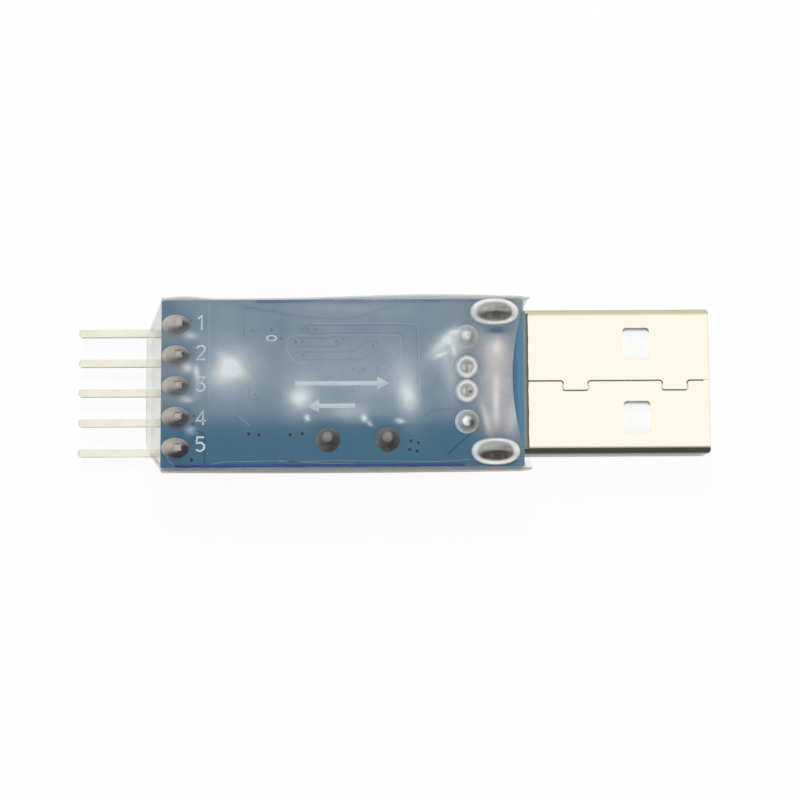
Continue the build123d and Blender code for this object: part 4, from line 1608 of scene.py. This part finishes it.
        # The film's edge lines take the track gaps' and the copper rims' colours as painted shade and
        # reflection
        kinds = (
            ("film_dark_edges", self.dark_edges, GAP),
            ("film_deep_edge", self.deep_edges, GAP),
            ("film_pale_edges", self.pale_edges, RIM),
        )
        for (name, edges, finish), width in zip(kinds, self.edge_widths):
            lines = [line(eased(edge), width, self.edge_rise) for edge in edges]
            make_piece(name, lines, finish.material())


# Materials of the frame's own nodes


@dataclass
class Components:
    """Everything of the frame that keeps its own shape and gets its finish here.

    Attributes:
        plain: the nodes with one finish all over.
        bare_share: share of a small part's length between its tinned ends.
        end_tin: sRGB of those ends.
        end_border: how wide the border between them and the body is.
    """

    plain: Sequence[tuple[str, Finish]] = (
        ("usb_insulator", INSULATOR), ("header_block", HEADER_PLASTIC), ("crystal_can", CAN),
        ("crystal_base", CAN), ("crystal_leads", LEAD_TIN), ("bridge_chip_leads", LEAD_TIN),
        ("bridge_chip_body", EPOXY),
    )
    bare_share: float = 0.62
    end_tin: str = "#cfccc4"
    end_border: float = 0.03

    def with_ends(self, node: str, finish: Finish) -> Finish:
        """Tins both ends of a small part, across its longer side.

        Args:
            node: the part.
            finish: what its body is made of.

        Returns:
            The same finish with a tinned zone.
        """
        box = Extent.of(node)
        axis = int(np.argmax(box.size[:2]))
        reach = self.bare_share * box.size[axis] / 2
        zone = Zone(self.end_tin, "XY"[axis], reach, box.middle[axis], self.end_border)
        return replace(finish, name=f"{finish.name}_with_tinned_ends", zone=zone)

    def build(self) -> None:
        """Dresses the board, the plug, the header and the parts of the component side."""
        dress("circuit_board", MaskedBoard().material())
        dress("usb_shell", PlatedShell().material())
        for node, finish in self.plain:
            dress(node, finish.material())
        wires = {"usb_contact": GOLD.material(), "header_pin": PIN_TIN.material()}
        small = {"resistor": GLAZE, "capacitor": CERAMIC, "light": LENS}
        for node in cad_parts:
            for family in (name for name in wires if name in node):
                dress(node, wires[family])
            for finish in [small[name] for name in small if name in node][:1]:
                dress(node, self.with_ends(node, finish).material())


# Floor, lamps and camera


@dataclass
class Studio:
    """A pale floor, a soft lamp overhead and the photograph's camera.

    Attributes:
        target: the point that the camera looks at.
        tilt: how far the camera leans off the vertical, degrees.
        roll: how far the picture is turned, degrees.
        distance: from camera to target.
        lens: focal length over the picture's width.
        ambient: how bright the room is for everything but camera, metal and film.
        lamp_size: side of the square lamp.
        lamp_distance: how far off it hangs.
        lamp_lean: how far it leans back from the camera, degrees.
        lamp_power: its power in watts.
        floor_size: side of the floor.
        floor_drop: how far it lies below the module.
    """

    target: Triple = (0.767, -1.244, 5.0)
    tilt: float = 6.3
    roll: float = 0.305
    distance: float = 156.2
    lens: float = 1892 / 800
    ambient: float = 0.55
    lamp_size: float = 120.0
    lamp_distance: float = 400.0
    lamp_lean: float = 34.0
    lamp_power: float = 0.86
    floor_size: float = 3000.0
    floor_drop: float = 0.02

    def add(self, name: str, data: bpy.types.ID) -> bpy.types.Object:
        """Puts a lamp, camera or floor into the scene.

        Args:
            name: the object's name.
            data: what it is.

        Returns:
            The object.
        """
        thing = bpy.data.objects.new(name, data)
        bpy.context.scene.collection.objects.link(thing)
        return thing

    def floor(self) -> None:
        """Lays the floor, a single square."""
        ends = np.array([-self.floor_size / 2, self.floor_size / 2])
        x, y = np.meshgrid(ends, ends)
        points = np.stack([x, y, 0 * x - self.floor_drop], axis=-1)
        mesh = make_mesh("floor", [Patch(points, round=False)])
        mesh.materials.append(PaperFloor().material())
        floor = self.add("floor", mesh)

    def world(self) -> None:
        """Lights everything evenly, and shows white to the camera, metal and clear film."""
        world = bpy.data.worlds.new("studio")
        bpy.context.scene.world = world
        world.use_nodes = True
        tree = world.node_tree
        tree.nodes.clear()
        shown = add_node(tree, "LightPath", output="Is Camera Ray")
        for name in ("Is Glossy Ray", "Is Transmission Ray"):
            ray = add_node(tree, "LightPath", output=name)
            shown = add_node(tree, "Math", {0: shown, 1: ray}, operation="MAXIMUM")
        grey = (self.ambient, self.ambient, self.ambient, 1.0)
        tone = add_node(tree, "Mix", {"A": grey, "B": WHITE, "Factor": shown}, data_type="RGBA")
        sky = add_node(tree, "Background", {"Strength": 1.0, "Color": tone})
        add_node(tree, "OutputWorld", {"Surface": sky})

    def lamp(self) -> None:
        """Hangs one square softbox over the module, leaning back from the camera; it lights but
        isn't mirrored, so that what is shiny mirrors the white room alone."""
        lean = math.radians(self.lamp_lean)
        light = bpy.data.lights.new("softbox", "AREA")
        light.shape = "SQUARE"
        light.size = self.lamp_size * MM
        light.energy = self.lamp_power
        softbox = self.add("softbox", light)
        away = Vector((0, math.sin(lean), math.cos(lean)))
        softbox.location = away * self.lamp_distance * MM
        softbox.rotation_euler = away.to_track_quat("Z", "Y").to_euler()
        softbox.visible_glossy = False

    def camera(self) -> None:
        """Sets the camera where the photograph was taken from."""
        tilt, roll = math.radians(self.tilt), math.radians(self.roll)
        back = Vector((0, -math.sin(tilt), math.cos(tilt)))
        level, rise = Vector((1, 0, 0)), Vector((0, math.cos(tilt), math.sin(tilt)))
        right = level * math.cos(roll) - rise * math.sin(roll)
        up = level * math.sin(roll) + rise * math.cos(roll)
        data = bpy.data.cameras.new("camera")
        data.sensor_width = 36.0
        data.lens = self.lens * data.sensor_width
        data.clip_start = 0.01
        camera = self.add("camera", data)
        turn = Matrix((right, up, back)).transposed().to_4x4()
        camera.matrix_world = Matrix.Translation((Vector(self.target) + back * self.distance) * MM) @ turn
        bpy.context.scene.camera = camera

    def build(self) -> None:
        """Makes the floor, the world, the lamp and the camera."""
        self.floor()
        self.world()
        self.lamp()
        self.camera()
        bpy.context.scene.view_settings.view_transform = "Standard"


def main() -> None:
    """Dresses the module and sets the studio."""
    logging.basicConfig(level=logging.INFO)
    for part in (Components(), BoardMarks(), SolderWork(), ShrinkFilm(), Studio()):
        part.build()
        log.info("%s done", type(part).__name__)


if __name__ == "__main__":
    main()
